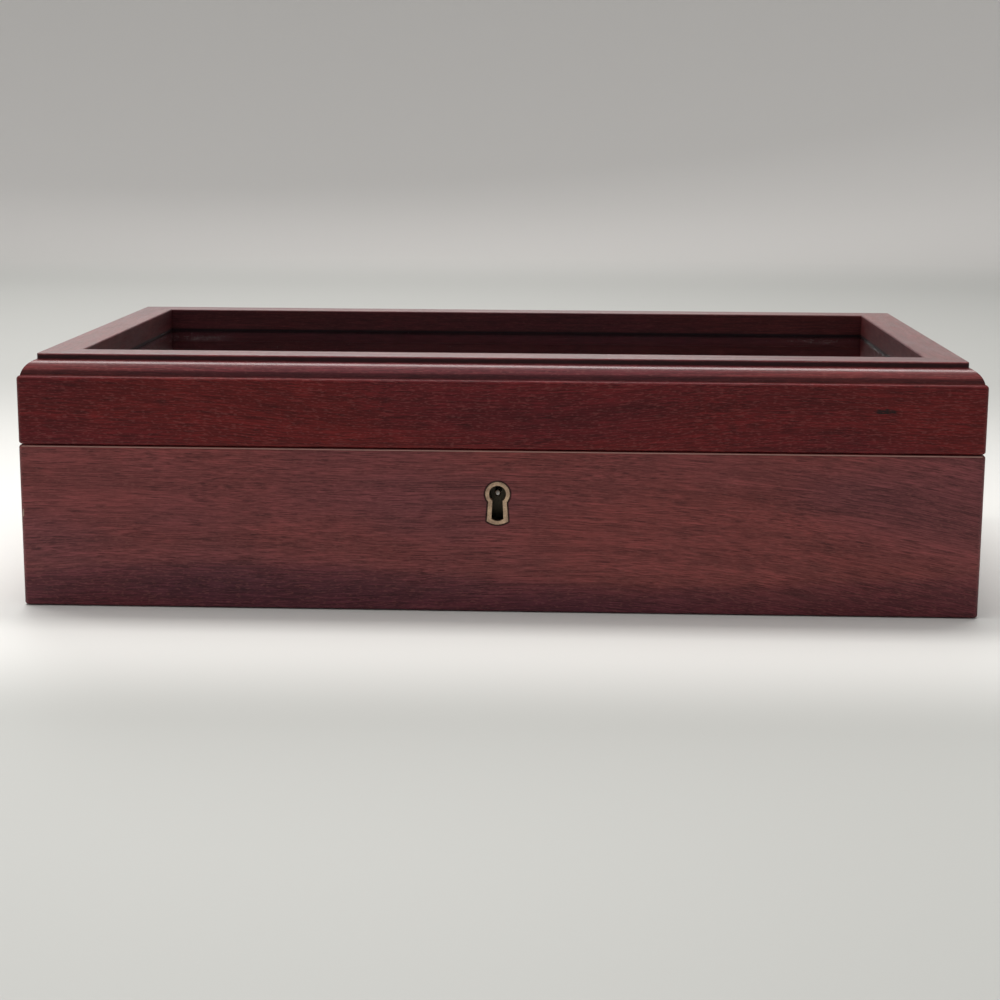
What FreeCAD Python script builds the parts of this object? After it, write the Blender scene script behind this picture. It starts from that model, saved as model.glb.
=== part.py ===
import FreeCAD, Part
import math
import os
import re
import Sketcher
from FreeCAD import Placement, Rotation, Vector

# Pen storage box: a mahogany box with a locking, glass-topped lid and a lift-out pen tray.
# Millimetres. X runs left to right, Y from the front to the back, Z up.
# The origin is the middle of the face that the box stands on.

DIMENSIONS = {
    # Boards of the base and the lid
    "box_width": 356.0,
    "box_depth": 205.0,
    "board_thickness": 12.0,
    "base_height": 60.8,
    "lid_side_height": 25.4,
    "rim_gap": 0.3,
    "corner_radius": 2.0,
    "base_top_round": 1.2,
    "base_bottom_round": 0.9,
    "lid_bottom_round": 1.0,
    "lid_top_round": 1.4,
    # Moulded frame on top of the lid
    "ledge_width": 1.4,
    "ovolo_width": 5.0,
    "ovolo_height": 5.5,
    "ovolo_radius": 7.0,
    "frame_rise": 7.8,
    "frame_flat": 14.3,
    "frame_drop": 1.7,
    "frame_round": 0.6,
    "frame_corner": 1.5,
    # Glass and the beads that hold it up
    "glass_thickness": 3.0,
    "glass_clearance": 0.4,
    "bead_width": 6.0,
    "bead_height": 5.5,
    "bead_quirk": 1.2,
    "bead_radius": 4.7,
    # Bottom panel and felts
    "rabbet_width": 6.0,
    "panel_thickness": 5.0,
    "panel_recess": 1.0,
    "panel_clearance": 0.2,
    "felt_proud": 0.3,
    "floor_felt_thickness": 1.5,
    # Lining boards that carry the tray
    "lining_height": 24.4,
    "lining_thickness": 3.0,
    "lining_round": 0.8,
    "lining_clearance": 0.2,
    # Pen tray
    "tray_clearance": 0.8,
    "tray_seat_gap": 0.2,
    "tray_height": 26.0,
    "rail_thickness": 5.0,
    "rail_corner": 1.5,
    "rail_round": 0.8,
    "tray_rabbet_width": 2.5,
    "tray_bottom_thickness": 3.0,
    "tray_bottom_clearance": 0.1,
    "notch_radius": 11.0,
    "notch_drop": 9.0,
    # Grooved rest for the pens
    "rest_height": 16.0,
    "rest_clearance": 0.2,
    "groove_count": 12,
    "groove_radius": 9.0,
    "groove_depth": 8.0,
    "ridge_round": 1.4,
    # Brass keyhole ring
    "key_drop": 16.35,
    "ring_radius": 4.75,
    "ring_wall": 1.6,
    "ring_waist": 7.3,
    "ring_foot": 8.4,
    "ring_shoulder": 10.3,
    "ring_drop": 11.7,
    "ring_depth": 2.5,
    "ring_proud": 0.1,
    "ring_edge": 0.3,
    "inlay_clearance": 0.05,
    "slot_waist": 3.8,
    "slot_foot": 4.5,
    "slot_shoulder": 9.3,
    "keyhole_relief": 0.2,
    # Box lock
    "lock_height": 32.0,
    "lock_depth": 7.5,
    "lock_clearance": 0.1,
    "plate_thickness": 1.5,
    "selvedge_thickness": 2.0,
    "plate_margin": 7.0,
    "case_room": 1.4,
    "case_drop": 30.0,
    "case_wall": 1.0,
    "drill_pin_radius": 1.25,
    "drill_pin_setback": 2.2,
    "drill_pin_round": 1.0,
    "stud_radius": 1.0,
    "stud_clearance": 0.15,
    "stud_spacing": 16.0,
    "stud_drop": 11.4,
    "stud_length": 4.5,
    # Sliding bolt
    "bolt_throw": 4.0,
    "bolt_thickness": 1.4,
    "bolt_clearance": 0.6,
    "bolt_top": 8.5,
    "bolt_bottom": 14.3,
    "bolt_tail": 12.0,
    "finger_height": 2.8,
    "stem_width": 3.0,
    "talon_width": 5.0,
    "talon_depth": 2.5,
    "bow_width": 8.0,
    "bow_rise": 1.4,
    "bow_thickness": 0.3,
    "bow_height": 3.0,
    "bow_drop": 14.0,
    # Link plate in the lid and its two staples
    "link_thickness": 1.6,
    "staple_spacing": 18.0,
    "staple_thickness": 2.0,
    "staple_width": 4.2,
    "staple_drop": 8.1,
    "staple_foot": 1.2,
    "staple_cheek": 1.1,
    "staple_hole_height": 3.4,
    "staple_clearance": 0.4,
    # Stop hinges
    "hinge_inset": 60.0,
    "hinge_length": 38.0,
    "leaf_reach": 9.5,
    "leaf_thickness": 1.8,
    "mortise_clearance": 0.1,
    "barrel_radius": 2.5,
    "barrel_clearance": 0.3,
    "knuckle_gap": 0.3,
    "hinge_pin_radius": 1.2,
    "hinge_pin_clearance": 0.05,
    "stop_radius": 4.6,
    "stop_clearance": 0.5,
    "stop_bar_top": 35.0,
    "stop_bar_bottom": 75.0,
    "stop_lip_span": 36.0,
    "stop_slack": 4.0,
    "lid_open_angle": 95.0,
    # Countersunk screws
    "screw_head_radius": 2.4,
    "screw_shank_radius": 1.1,
    "screw_length": 9.0,
    "screw_clearance": 0.05,
    "screw_tip": 2.0,
    "pilot_spare": 0.2,
    "screw_slot_width": 0.6,
    "screw_slot_depth": 0.6,
    "hinge_screw_pitch": 12.0,
    "hinge_screw_inset": 5.2,
    "lock_screw_drop": 27.0,
}

# Sizes and levels that follow from the dimensions above
WORKED_OUT = {
    "base_rim": "felt_proud + base_height",
    "lid_rim": "base_rim + rim_gap",
    "lid_top": "lid_rim + lid_side_height",
    "frame_edge": "ledge_width + ovolo_width",
    "window_inset": "frame_edge + frame_flat",
    "glass_top": "lid_top - frame_drop",
    "glass_bottom": "glass_top - glass_thickness",
    "inner_width": "box_width - 2 * board_thickness",
    "inner_depth": "box_depth - 2 * board_thickness",
    "panel_top": "panel_recess + panel_thickness",
    "floor_level": "felt_proud + panel_top",
    "tray_level": "floor_level + lining_height + tray_seat_gap",
    "tray_width": "inner_width - 2 * tray_clearance",
    "tray_depth": "inner_depth - 2 * tray_clearance",
    "rest_width": "tray_width - 2 * rail_thickness - 2 * rest_clearance",
    "rest_depth": "tray_depth - 2 * rail_thickness - 2 * rest_clearance",
    "groove_pitch": "rest_width / groove_count",
    "groove_axis": "tray_bottom_thickness + rest_height - groove_depth + groove_radius",
    "key_level": "base_height - key_drop",
    "bolt_reach": "staple_x + staple_thickness / 2 + bolt_clearance + bolt_throw + stem_width",
    "case_width": "2 * (bolt_reach + case_room + case_wall)",
    "lock_width": "case_width + 2 * plate_margin",
    "lock_front": "board_thickness - lock_depth",
    "lock_back": "board_thickness - plate_thickness",
    "staple_middle": "(lock_front + case_wall + lock_back) / 2",
    "staple_x": "staple_spacing / 2",
    "finger_top": "base_height - staple_drop + staple_foot + (staple_hole_height + finger_height) / 2",
    "finger_bottom": "finger_top - finger_height",
    "bolt_level": "base_height - bolt_top",
    "hinge_spacing": "box_width - 2 * hinge_inset",
    "hinge_back": "barrel_radius + barrel_clearance",
    "hinge_level": "base_rim + rim_gap / 2",
    "knuckle_pitch": "hinge_length / 5",
    "knuckle_width": "knuckle_pitch - knuckle_gap",
    "countersink": "screw_head_radius - screw_shank_radius + screw_clearance",
    "pilot_radius": "screw_shank_radius + screw_clearance",
    "pilot_depth": "screw_length + pilot_spare",
    "lock_screw_spacing": "case_width + plate_margin",
    "lock_screw_x": "lock_screw_spacing / 2",
    "lock_screw_y": "board_thickness - lock_depth / 2",
    "lock_screw_level": "base_height - lock_screw_drop",
}

# A cut that leaves through a face runs this far past it
OVERCUT = 1.0

doc = FreeCAD.newDocument("pen_storage_box")
sheet = doc.addObject("Spreadsheet::Sheet", "Dims")
for row, (name, size) in enumerate(DIMENSIONS.items(), start=1):
    sheet.set(f"A{row}", name)
    sheet.set(f"B{row}", str(size))
    sheet.setAlias(f"B{row}", name)
doc.recompute()


def formula(text):
    """The formula with each dimension's name pointing into the sheet and each worked-out size written out."""

    def expand(match):
        word = match.group()
        if word in WORKED_OUT:
            return f"({formula(WORKED_OUT[word])})"
        return f"Dims.{word}" if word in DIMENSIONS else word

    return re.sub(r"[a-z_]+", expand, str(text))


def value(text):
    """What a formula comes to with the sheet's present sizes."""
    return float(sheet.evalExpression(formula(text)))


# Outlines: each is a list of corners, (x, y) formulas, where the run that ends at the corner is straight,
# or bends if a radius is given. "left" turns anticlockwise, "right" clockwise.


def rectangle(x_low, y_low, x_high, y_high):
    return [(x_low, y_low), (x_high, y_low), (x_high, y_high), (x_low, y_high)]


def circle(x, y, radius):
    return ("circle", x, y, radius)


def mitred_plan(length, thickness, corner):
    """A board seen from above: outer face on y = 0, ends cut at 45 degrees, outer corners rounded."""
    half = f"({length}) / 2"
    bite = f"{corner} * (1 - sqrt(0.5))"
    return [
        (f"{half} - {corner}", "0"),
        (f"{half} - {bite}", bite, corner, "left"),
        (f"{half} - {thickness}", thickness),
        (f"{thickness} - {half}", thickness),
        (f"{bite} - {half}", bite),
        (f"{corner} - {half}", "0", corner, "left"),
    ]


def keyhole_shape(head_radius, waist, shoulder_width, shoulder, bottom):
    """A keyhole: round head on the key's axis, sides that spread downwards, a bowed foot."""
    junction = f"key_level - sqrt(({head_radius})^2 - (({waist}) / 2)^2)"
    bow = f"(({bottom}) - ({shoulder}))"
    foot_radius = f"({bow}^2 + (({shoulder_width}) / 2)^2) / (2 * {bow})"
    return [
        (f"({waist}) / 2", junction),
        (f"-({waist}) / 2", junction, head_radius, "left", "long"),
        (f"-({shoulder_width}) / 2", f"key_level - ({shoulder})"),
        (f"({shoulder_width}) / 2", f"key_level - ({shoulder})", foot_radius, "left"),
    ]


def round_slot(x_low, x_high, y, radius):
    """A slot with round ends whose centres lie at x_low and x_high."""
    return [
        (x_high, f"{y} - {radius}"),
        (x_high, f"{y} + {radius}", radius, "left"),
        (x_low, f"{y} + {radius}"),
        (x_low, f"{y} - {radius}", radius, "left"),
    ]


def polar(radius, angle):
    """A corner at a radius and an angle in degrees from the hinge's axis, in the plane across it."""
    return (f"({radius}) * cos(({angle}) * 1 deg)", f"({radius}) * sin(({angle}) * 1 deg)")


def arc_centre(start, end, radius, turn, long_way):
    """The centre of the arc of this radius that turns left or right from start to end."""
    chord = end - start
    height = math.sqrt(max(0.0, radius**2 - (chord.Length / 2) ** 2))
    left_of_chord = Vector(-chord.y, chord.x, 0).normalize()
    sign = 1 if (turn == "left") != long_way else -1
    return (start + end) / 2 + left_of_chord * height * sign


class Piece:
    """One sub-part: a body whose features take their sizes from the sheet."""

    all_pieces = []

    def __init__(self, name):
        self.body = doc.addObject("PartDesign::Body", name)
        self.body.Label = name
        Piece.all_pieces.append(self)

    def origin_feature(self, role):
        return next(feature for feature in self.body.Origin.OriginFeatures if feature.Role == role)

    def sketch(self, plane, outlines, offset):
        """A fully bound sketch on an origin plane, moved along the plane's normal by offset."""
        sketch = self.body.newObject("Sketcher::SketchObject", self.body.Name + "_sketch")
        sketch.AttachmentSupport = [(self.origin_feature(plane + "_Plane"), "")]
        sketch.MapMode = "FlatFace"
        sketch.setExpression(".AttachmentOffset.Base.z", formula(offset))
        for outline in outlines:
            if outline[0] == "circle":
                self.draw_circle(sketch, *outline[1:])
            else:
                self.draw_outline(sketch, outline)
        doc.recompute()
        return sketch

    def constrain(self, sketch, kind, size, *where):
        index = sketch.addConstraint(Sketcher.Constraint(kind, *where, value(size)))
        sketch.setExpression(f"Constraints[{index}]", formula(size))

    def draw_circle(self, sketch, x, y, radius):
        centre = Vector(value(x), value(y), 0)
        index = sketch.addGeometry(Part.Circle(centre, Vector(0, 0, 1), value(radius)), False)
        self.constrain(sketch, "DistanceX", x, -1, 1, index, 3)
        self.constrain(sketch, "DistanceY", y, -1, 1, index, 3)
        self.constrain(sketch, "Radius", radius, index)

    def draw_outline(self, sketch, outline):
        corners = [Vector(value(corner[0]), value(corner[1]), 0) for corner in outline]
        runs = []
        for number, corner in enumerate(outline):
            start, end = corners[number - 1], corners[number]
            if len(corner) == 2:
                index = sketch.addGeometry(Part.LineSegment(start, end), False)
                runs.append((index, 1, 2))
                continue
            radius, turn = corner[2:4]
            centre = arc_centre(start, end, value(radius), turn, "long" in corner)
            first, last = (start, end) if turn == "left" else (end, start)
            angles = [math.atan2(point.y - centre.y, point.x - centre.x) for point in (first, last)]
            ring = Part.Circle(centre, Vector(0, 0, 1), value(radius))
            index = sketch.addGeometry(Part.ArcOfCircle(ring, *angles), False)
            runs.append((index, 1, 2) if turn == "left" else (index, 2, 1))
            self.constrain(sketch, "Radius", radius, index)
        for number, (index, start_point, end_point) in enumerate(runs):
            before, _, before_end = runs[number - 1]
            sketch.addConstraint(Sketcher.Constraint("Coincident", before, before_end, index, start_point))
            self.constrain(sketch, "DistanceX", outline[number][0], -1, 1, index, end_point)
            self.constrain(sketch, "DistanceY", outline[number][1], -1, 1, index, end_point)

    def volume(self):
        return self.body.Shape.Volume if self.body.Tip else 0.0

    def feature(self, kind, sketch):
        feature = self.body.newObject("PartDesign::" + kind, f"{self.body.Name}_{kind}")
        feature.Profile = sketch
        return feature

    def pad(self, plane, outlines, length, offset="0", symmetric=False, reverse=False):
        """Adds the outlines' area carried along the plane's normal."""
        before = self.volume()
        feature = self.feature("Pad", self.sketch(plane, outlines, offset))
        feature.setExpression("Length", formula(length))
        feature.SideType = "Symmetric" if symmetric else "One side"
        feature.Reversed = reverse
        doc.recompute()
        assert self.volume() > before, f"{self.body.Name}: a pad added nothing"
        return feature

    def pocket(self, plane, outlines, depth=None, offset="0", reverse=False):
        """Cuts the outlines' area away, against the plane's normal, or both ways if no depth is given."""
        before = self.volume()
        feature = self.feature("Pocket", self.sketch(plane, outlines, offset))
        if depth is None:
            feature.Type = "ThroughAll"
            feature.SideType = "Symmetric"
        else:
            feature.setExpression("Length", formula(depth))
            feature.Reversed = reverse
        doc.recompute()
        assert self.volume() < before, f"{self.body.Name}: a pocket cut nothing"
        return feature

    def edges(self, chosen):
        names = [f"Edge{number}" for number, edge in enumerate(self.body.Shape.Edges, start=1) if chosen(edge)]
        assert names, f"{self.body.Name}: no such edge"
        return (self.body.Tip, names)

    def local_box(self, edge):
        """An edge's box in the body's own frame."""
        return edge.copy().transformed(self.body.Placement.inverse().toMatrix()).BoundBox

    def round_edges(self, radius, chosen):
        edges = self.edges(chosen)
        feature = self.body.newObject("PartDesign::Fillet", self.body.Name + "_round")
        feature.Base = edges
        feature.setExpression("Radius", formula(radius))
        doc.recompute()
        assert "Invalid" not in feature.State, f"{self.body.Name}: a rounding failed"

    def chamfer_edges(self, size, chosen):
        edges = self.edges(chosen)
        feature = self.body.newObject("PartDesign::Chamfer", self.body.Name + "_chamfer")
        feature.Base = edges
        feature.setExpression("Size", formula(size))
        doc.recompute()
        assert "Invalid" not in feature.State, f"{self.body.Name}: a chamfer failed"

    def row(self, originals, spacing, count):
        """Repeats features along X."""
        pattern = self.row_step(spacing, count)
        pattern.Originals = originals
        self.body.Tip = pattern
        doc.recompute()

    def row_of_rows(self, originals, spacing, count, row_spacing, row_count):
        """Repeats features along X, and then the whole row."""
        pattern = self.body.newObject("PartDesign::MultiTransform", self.body.Name + "_rows")
        pattern.Originals = originals
        steps = [(spacing, count), (row_spacing, row_count)]
        pattern.Transformations = [self.row_step(*step) for step in steps]
        self.body.Tip = pattern
        doc.recompute()

    def row_step(self, spacing, count):
        step = self.body.newObject("PartDesign::LinearPattern", self.body.Name + "_row")
        step.Direction = (self.origin_feature("X_Axis"), [""])
        step.Mode = "Spacing"
        step.setExpression("Offset", formula(spacing))
        step.setExpression("Occurrences", formula(count))
        return step

    def place(self, x="0", y="0", z="0", rotation=Rotation()):
        self.body.Placement = Placement(Vector(value(x), value(y), value(z)), rotation)
        for axis, formula_text in zip("xyz", (x, y, z)):
            self.body.setExpression(f".Placement.Base.{axis}", formula(formula_text))
        doc.recompute()
        return self


# The sides of a mitred rectangle: how far each is turned, and where its outer face lies
SIDES = {
    "front": (0, "0", "-({depth}) / 2"),
    "right": (90, "({width}) / 2", "0"),
    "back": (180, "0", "({depth}) / 2"),
    "left": (270, "-({width}) / 2", "0"),
}


def place_on_side(piece, side, width, depth, level):
    turn, x, y = SIDES[side]
    sizes = {"width": width, "depth": depth}
    return piece.place(x.format(**sizes), y.format(**sizes), level, Rotation(Vector(0, 0, 1), turn))


def four_sides(names, width, depth, level, make):
    """Makes and places one member for each side; names holds a place for the side's name."""
    members = {}
    for side in SIDES:
        length = width if side in ("front", "back") else depth
        members[side] = make(names.format(side=side), length)
        place_on_side(members[side], side, width, depth, level)
    return members


def outer_edges(piece, level):
    """Chooses the edges along a board's outer face, round its corners too, at one level."""
    height = value(level)
    reach = value("corner_radius")

    def chosen(edge):
        box = piece.local_box(edge)
        return abs(box.ZMin - height) < 0.01 and abs(box.ZMax - height) < 0.01 and box.YMax < reach

    return chosen


def case_board(name, length, height, bottom_round, top_round):
    """One board of the base or the lid, mitred, with its outer edges eased."""
    board = Piece(name)
    board.pad("XY", [mitred_plan(length, "board_thickness", "corner_radius")], height)
    board.round_edges(bottom_round, outer_edges(board, "0"))
    board.round_edges(top_round, outer_edges(board, height))
    return board


def moulded_member(name, length, outline, inset):
    """A moulding: its section carried along X, its ends mitred from y = 0 inwards past inset."""
    member = Piece(name)
    member.pad("YZ", [outline], length, symmetric=True)
    half = f"({length}) / 2"
    deep = f"({inset}) + {OVERCUT}"
    right_end = [
        (f"{half} + {OVERCUT}", f"-{OVERCUT}"),
        (f"{half} + {OVERCUT}", deep),
        (f"{half} - ({deep})", deep),
    ]
    left_end = [(f"-({x})", y) for x, y in reversed(right_end)]
    member.pocket("XY", [right_end, left_end])
    return member


def slab(name, width, depth, thickness, level):
    """A flat rectangular piece, centred on the box."""
    piece = Piece(name)
    corners = (f"-({width}) / 2", f"-({depth}) / 2", f"({width}) / 2", f"({depth}) / 2")
    piece.pad("XY", [rectangle(*corners)], thickness)
    return piece.place(z=level)


# Base: four mitred boards, rabbeted along the bottom for the panel


def base_board(name, length):
    board = case_board(name, length, "base_height", "base_bottom_round", "base_top_round")
    rabbet = rectangle(
        "board_thickness - rabbet_width", f"-{OVERCUT}", f"board_thickness + {OVERCUT}", "panel_top"
    )
    board.pocket("YZ", [rabbet])
    return board


base = four_sides("base_{side}_board", "box_width", "box_depth", "felt_proud", base_board)

panel_width = "inner_width + 2 * (rabbet_width - panel_clearance)"
panel_depth = "inner_depth + 2 * (rabbet_width - panel_clearance)"
slab("base_bottom_panel", panel_width, panel_depth, "panel_thickness", "felt_proud + panel_recess")
slab("base_felt", panel_width, panel_depth, "panel_recess + felt_proud", "0")
slab(
    "floor_felt",
    "inner_width - 2 * (lining_thickness + lining_clearance)",
    "inner_depth - 2 * (lining_thickness + lining_clearance)",
    "floor_felt_thickness",
    "floor_level",
)


# Lining boards: they stand on the panel against the walls, and the tray rests on their top edges


def lining_board(name, length):
    board = Piece(name)
    half = f"({length}) / 2"
    board.pad("XY", [rectangle(f"-{half}", "0", half, "lining_thickness")], "lining_height")
    top = value("lining_height")
    inside = value("lining_thickness")

    def inner_top(edge):
        box = board.local_box(edge)
        return box.ZMin > top - 0.01 and box.YMin > inside - 0.01

    board.round_edges("lining_round", inner_top)
    return board


for side in SIDES:
    across = side in ("front", "back")
    room = "inner_width" if across else "inner_depth - 2 * lining_thickness"
    lining = lining_board(f"lining_{side}_board", f"{room} - 2 * lining_clearance")
    place_on_side(lining, side, "inner_width", "inner_depth", "floor_level")


# Lid: four mitred boards


def lid_board(name, length):
    return case_board(name, length, "lid_side_height", "lid_bottom_round", "lid_top_round")


lid = four_sides("lid_{side}_board", "box_width", "box_depth", "lid_rim", lid_board)


# Top frame: a ledge, an ovolo, a square step and a flat that runs in to the window. The corners of the flat
# are rounded.


def frame_member(name, length):
    section = [
        ("ledge_width", "0"),
        ("board_thickness", "0"),
        ("board_thickness", "-frame_drop"),
        ("window_inset", "-frame_drop"),
        ("window_inset", "frame_rise - frame_round"),
        ("window_inset - frame_round", "frame_rise", "frame_round", "left"),
        ("frame_edge + frame_round", "frame_rise"),
        ("frame_edge", "frame_rise - frame_round", "frame_round", "left"),
        ("frame_edge", "ovolo_height"),
    ]
    section[0] = section[0] + ("ovolo_radius", "left")
    member = moulded_member(name, length, section, "window_inset")
    corner = f"(({length}) / 2 - frame_edge)"
    bite = "frame_corner * (1 - sqrt(0.5))"
    right_chip = [
        (f"{corner} - {bite}", f"frame_edge + {bite}", "frame_corner", "left"),
        (f"{corner} + {OVERCUT}", f"frame_edge + {bite}"),
        (f"{corner} + {OVERCUT}", f"frame_edge - {OVERCUT}"),
        (f"{corner} - frame_corner", f"frame_edge - {OVERCUT}"),
        (f"{corner} - frame_corner", "frame_edge"),
    ]
    left_chip = [
        (f"frame_corner - {corner}", "frame_edge", "frame_corner", "left"),
        (f"frame_corner - {corner}", f"frame_edge - {OVERCUT}"),
        (f"-{corner} - {OVERCUT}", f"frame_edge - {OVERCUT}"),
        (f"-{corner} - {OVERCUT}", f"frame_edge + {bite}"),
        (f"{bite} - {corner}", f"frame_edge + {bite}"),
    ]
    depth = f"frame_rise - ovolo_height + {OVERCUT}"
    member.pocket("XY", [right_chip, left_chip], depth, offset="ovolo_height", reverse=True)
    return member


four_sides("top_frame_{side}", "box_width", "box_depth", "lid_top", frame_member)

slab(
    "lid_glass",
    "inner_width - 2 * glass_clearance",
    "inner_depth - 2 * glass_clearance",
    "glass_thickness",
    "glass_bottom",
)


# Glazing beads: quarter rounds under the glass, glued to the lid's boards


def glazing_bead(name, length):
    inner = "board_thickness + bead_width"
    section = [
        ("board_thickness", "-bead_height"),
        ("board_thickness + bead_quirk", "-bead_height"),
        (inner, "-bead_quirk", "bead_radius", "left"),
        (inner, "0"),
        ("board_thickness", "0"),
    ]
    return moulded_member(name, length, section, inner)


four_sides("glazing_bead_{side}", "box_width", "box_depth", "glass_bottom", glazing_bead)


# Keyhole ring: cast brass, let in flush with the front board, with the keyhole through it

ring_outline = keyhole_shape("ring_radius", "ring_waist", "ring_foot", "ring_shoulder", "ring_drop")
slot_outline = keyhole_shape(
    "ring_radius - ring_wall", "slot_waist", "slot_foot", "slot_shoulder", "ring_drop - ring_wall"
)
recess_outline = keyhole_shape(
    "ring_radius + inlay_clearance",
    "ring_waist + 2 * inlay_clearance",
    "ring_foot + 2 * inlay_clearance",
    "ring_shoulder + inlay_clearance",
    "ring_drop + inlay_clearance",
)
passage_outline = keyhole_shape(
    "ring_radius - ring_wall + keyhole_relief",
    "slot_waist + 2 * keyhole_relief",
    "slot_foot + 2 * keyhole_relief",
    "slot_shoulder + keyhole_relief",
    "ring_drop - ring_wall + keyhole_relief",
)

ring = Piece("keyhole_ring")
ring.pad("XZ", [ring_outline, slot_outline], "ring_depth + ring_proud", offset="-ring_depth")
ring_face = next(face for face in ring.body.Shape.Faces if face.BoundBox.YMax < 0)
ring.chamfer_edges("ring_edge", lambda edge: any(edge.isSame(rim) for rim in ring_face.OuterWire.Edges))
place_on_side(ring, "front", "box_width", "box_depth", "felt_proud")

# Front board: recesses for the ring and the lock, the keyhole between them, pilot holes

front = base["front"]
front.pocket("XZ", [recess_outline], "ring_depth")
front.pocket("XZ", [passage_outline], "lock_front")
half_recess = "(lock_width / 2 + lock_clearance)"
half_case = "(case_width / 2 + lock_clearance)"
lock_recess_front = "lock_front - lock_clearance"
past_inside = f"board_thickness + {OVERCUT}"
past_rim = f"base_height + {OVERCUT}"
front.pocket(
    "XY",
    [rectangle(f"-{half_recess}", lock_recess_front, half_recess, past_inside)],
    "selvedge_thickness",
    offset="base_height",
)
plate_foot = "base_height - lock_height - lock_clearance"
front.pocket(
    "XZ",
    [rectangle(f"-{half_recess}", plate_foot, half_recess, past_rim)],
    "plate_thickness",
    offset="-board_thickness",
    reverse=True,
)
case_foot = "base_height - case_drop - lock_clearance"
front.pocket(
    "XZ",
    [rectangle(f"-{half_case}", case_foot, half_case, past_rim)],
    "lock_depth + lock_clearance",
    offset="-board_thickness",
    reverse=True,
)


def pair_of_holes(level, radius):
    """Two lock screw holes, one each side of the middle."""
    return [circle("-lock_screw_x", level, radius), circle("lock_screw_x", level, radius)]


front.pocket("XY", pair_of_holes("lock_screw_y", "pilot_radius"), "pilot_depth", offset="base_height")
front.pocket(
    "XZ",
    pair_of_holes("lock_screw_level", "pilot_radius"),
    "pilot_depth",
    offset="-board_thickness",
    reverse=True,
)

# Lock plate: back plate flush with the inside of the board, selvedge flush with the rim


def holes_on(piece, axis, level):
    """Chooses the rims of screw holes that lie at a level along Y or Z of the piece's own frame."""

    def chosen(edge):
        if not isinstance(edge.Curve, Part.Circle):
            return False
        box = piece.local_box(edge)
        low, high = (box.YMin, box.YMax) if axis == "Y" else (box.ZMin, box.ZMax)
        at_level = abs(low - value(level)) < 0.01 and abs(high - value(level)) < 0.01
        return at_level and abs(edge.Curve.Radius - value("pilot_radius")) < 0.001

    return chosen


lock_half = "lock_width / 2"
lock_plate = Piece("lock_plate")
lock_plate.pad(
    "XZ",
    [rectangle(f"-{lock_half}", "base_height - lock_height", lock_half, "base_height")],
    "plate_thickness",
    offset="-board_thickness",
)
lock_plate.pad(
    "XY",
    [rectangle(f"-{lock_half}", "lock_front", lock_half, "board_thickness")],
    "selvedge_thickness",
    offset="base_height",
    reverse=True,
)


def staple_slot(middle):
    half_width = "(staple_thickness / 2 + staple_clearance)"
    half_depth = "(staple_width / 2 + staple_clearance)"
    return rectangle(
        f"{middle} - {half_width}",
        f"staple_middle - {half_depth}",
        f"{middle} + {half_width}",
        f"staple_middle + {half_depth}",
    )


lock_plate.pocket(
    "XY", [staple_slot("staple_x"), staple_slot("-staple_x")], "selvedge_thickness", offset="base_height"
)
lock_plate.pocket(
    "XY", pair_of_holes("lock_screw_y", "pilot_radius"), "selvedge_thickness", offset="base_height"
)
lock_plate.pocket(
    "XZ",
    pair_of_holes("lock_screw_level", "pilot_radius"),
    "plate_thickness",
    offset="-board_thickness",
    reverse=True,
)
lock_plate.chamfer_edges("countersink", holes_on(lock_plate, "Z", "base_height"))
lock_plate.chamfer_edges("countersink", holes_on(lock_plate, "Y", "board_thickness"))

# Lock cap: a shallow pressed box over the works, open on top for the staples

cap_half = "case_width / 2"
cap_inner = "(case_width / 2 - case_wall)"
under_selvedge = "base_height - selvedge_thickness"
lock_cap = Piece("lock_cap")
lock_cap.pad(
    "XZ",
    [rectangle(f"-{cap_half}", "base_height - case_drop", cap_half, under_selvedge)],
    "lock_depth - plate_thickness",
    offset="-lock_back",
)
lock_cap.pocket(
    "XZ",
    [
        rectangle(
            f"-{cap_inner}",
            "base_height - case_drop + case_wall",
            cap_inner,
            f"{under_selvedge} + {OVERCUT}",
        )
    ],
    "lock_depth - plate_thickness - case_wall",
    offset="-lock_back",
    reverse=True,
)
lock_cap.pocket("XZ", [passage_outline], "case_wall", offset="-lock_front")

# Drill pin: riveted to the plate, it centres the hollow key

drill_pin = Piece("lock_drill_pin")
drill_pin.pad(
    "XZ",
    [circle("0", "key_level", "drill_pin_radius")],
    "lock_back - drill_pin_setback",
    offset="-lock_back",
)
drill_pin.round_edges("drill_pin_round", lambda edge: edge.BoundBox.YMax < value("drill_pin_setback") + 0.01)

# Guide studs: the bolt slides on them

stud_x = "stud_spacing / 2"
stud_level = "base_height - stud_drop"
lock_studs = Piece("lock_studs")
lock_studs.pad(
    "XZ",
    [circle(f"-{stud_x}", stud_level, "stud_radius"), circle(stud_x, stud_level, "stud_radius")],
    "stud_length",
    offset="-lock_back",
)

# Bow spring: a bent strip between the plate and the bolt that keeps the bolt where it is put


def bow_radius(width, rise):
    return f"((({width}) / 2)^2 + ({rise})^2) / (2 * ({rise}))"


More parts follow.
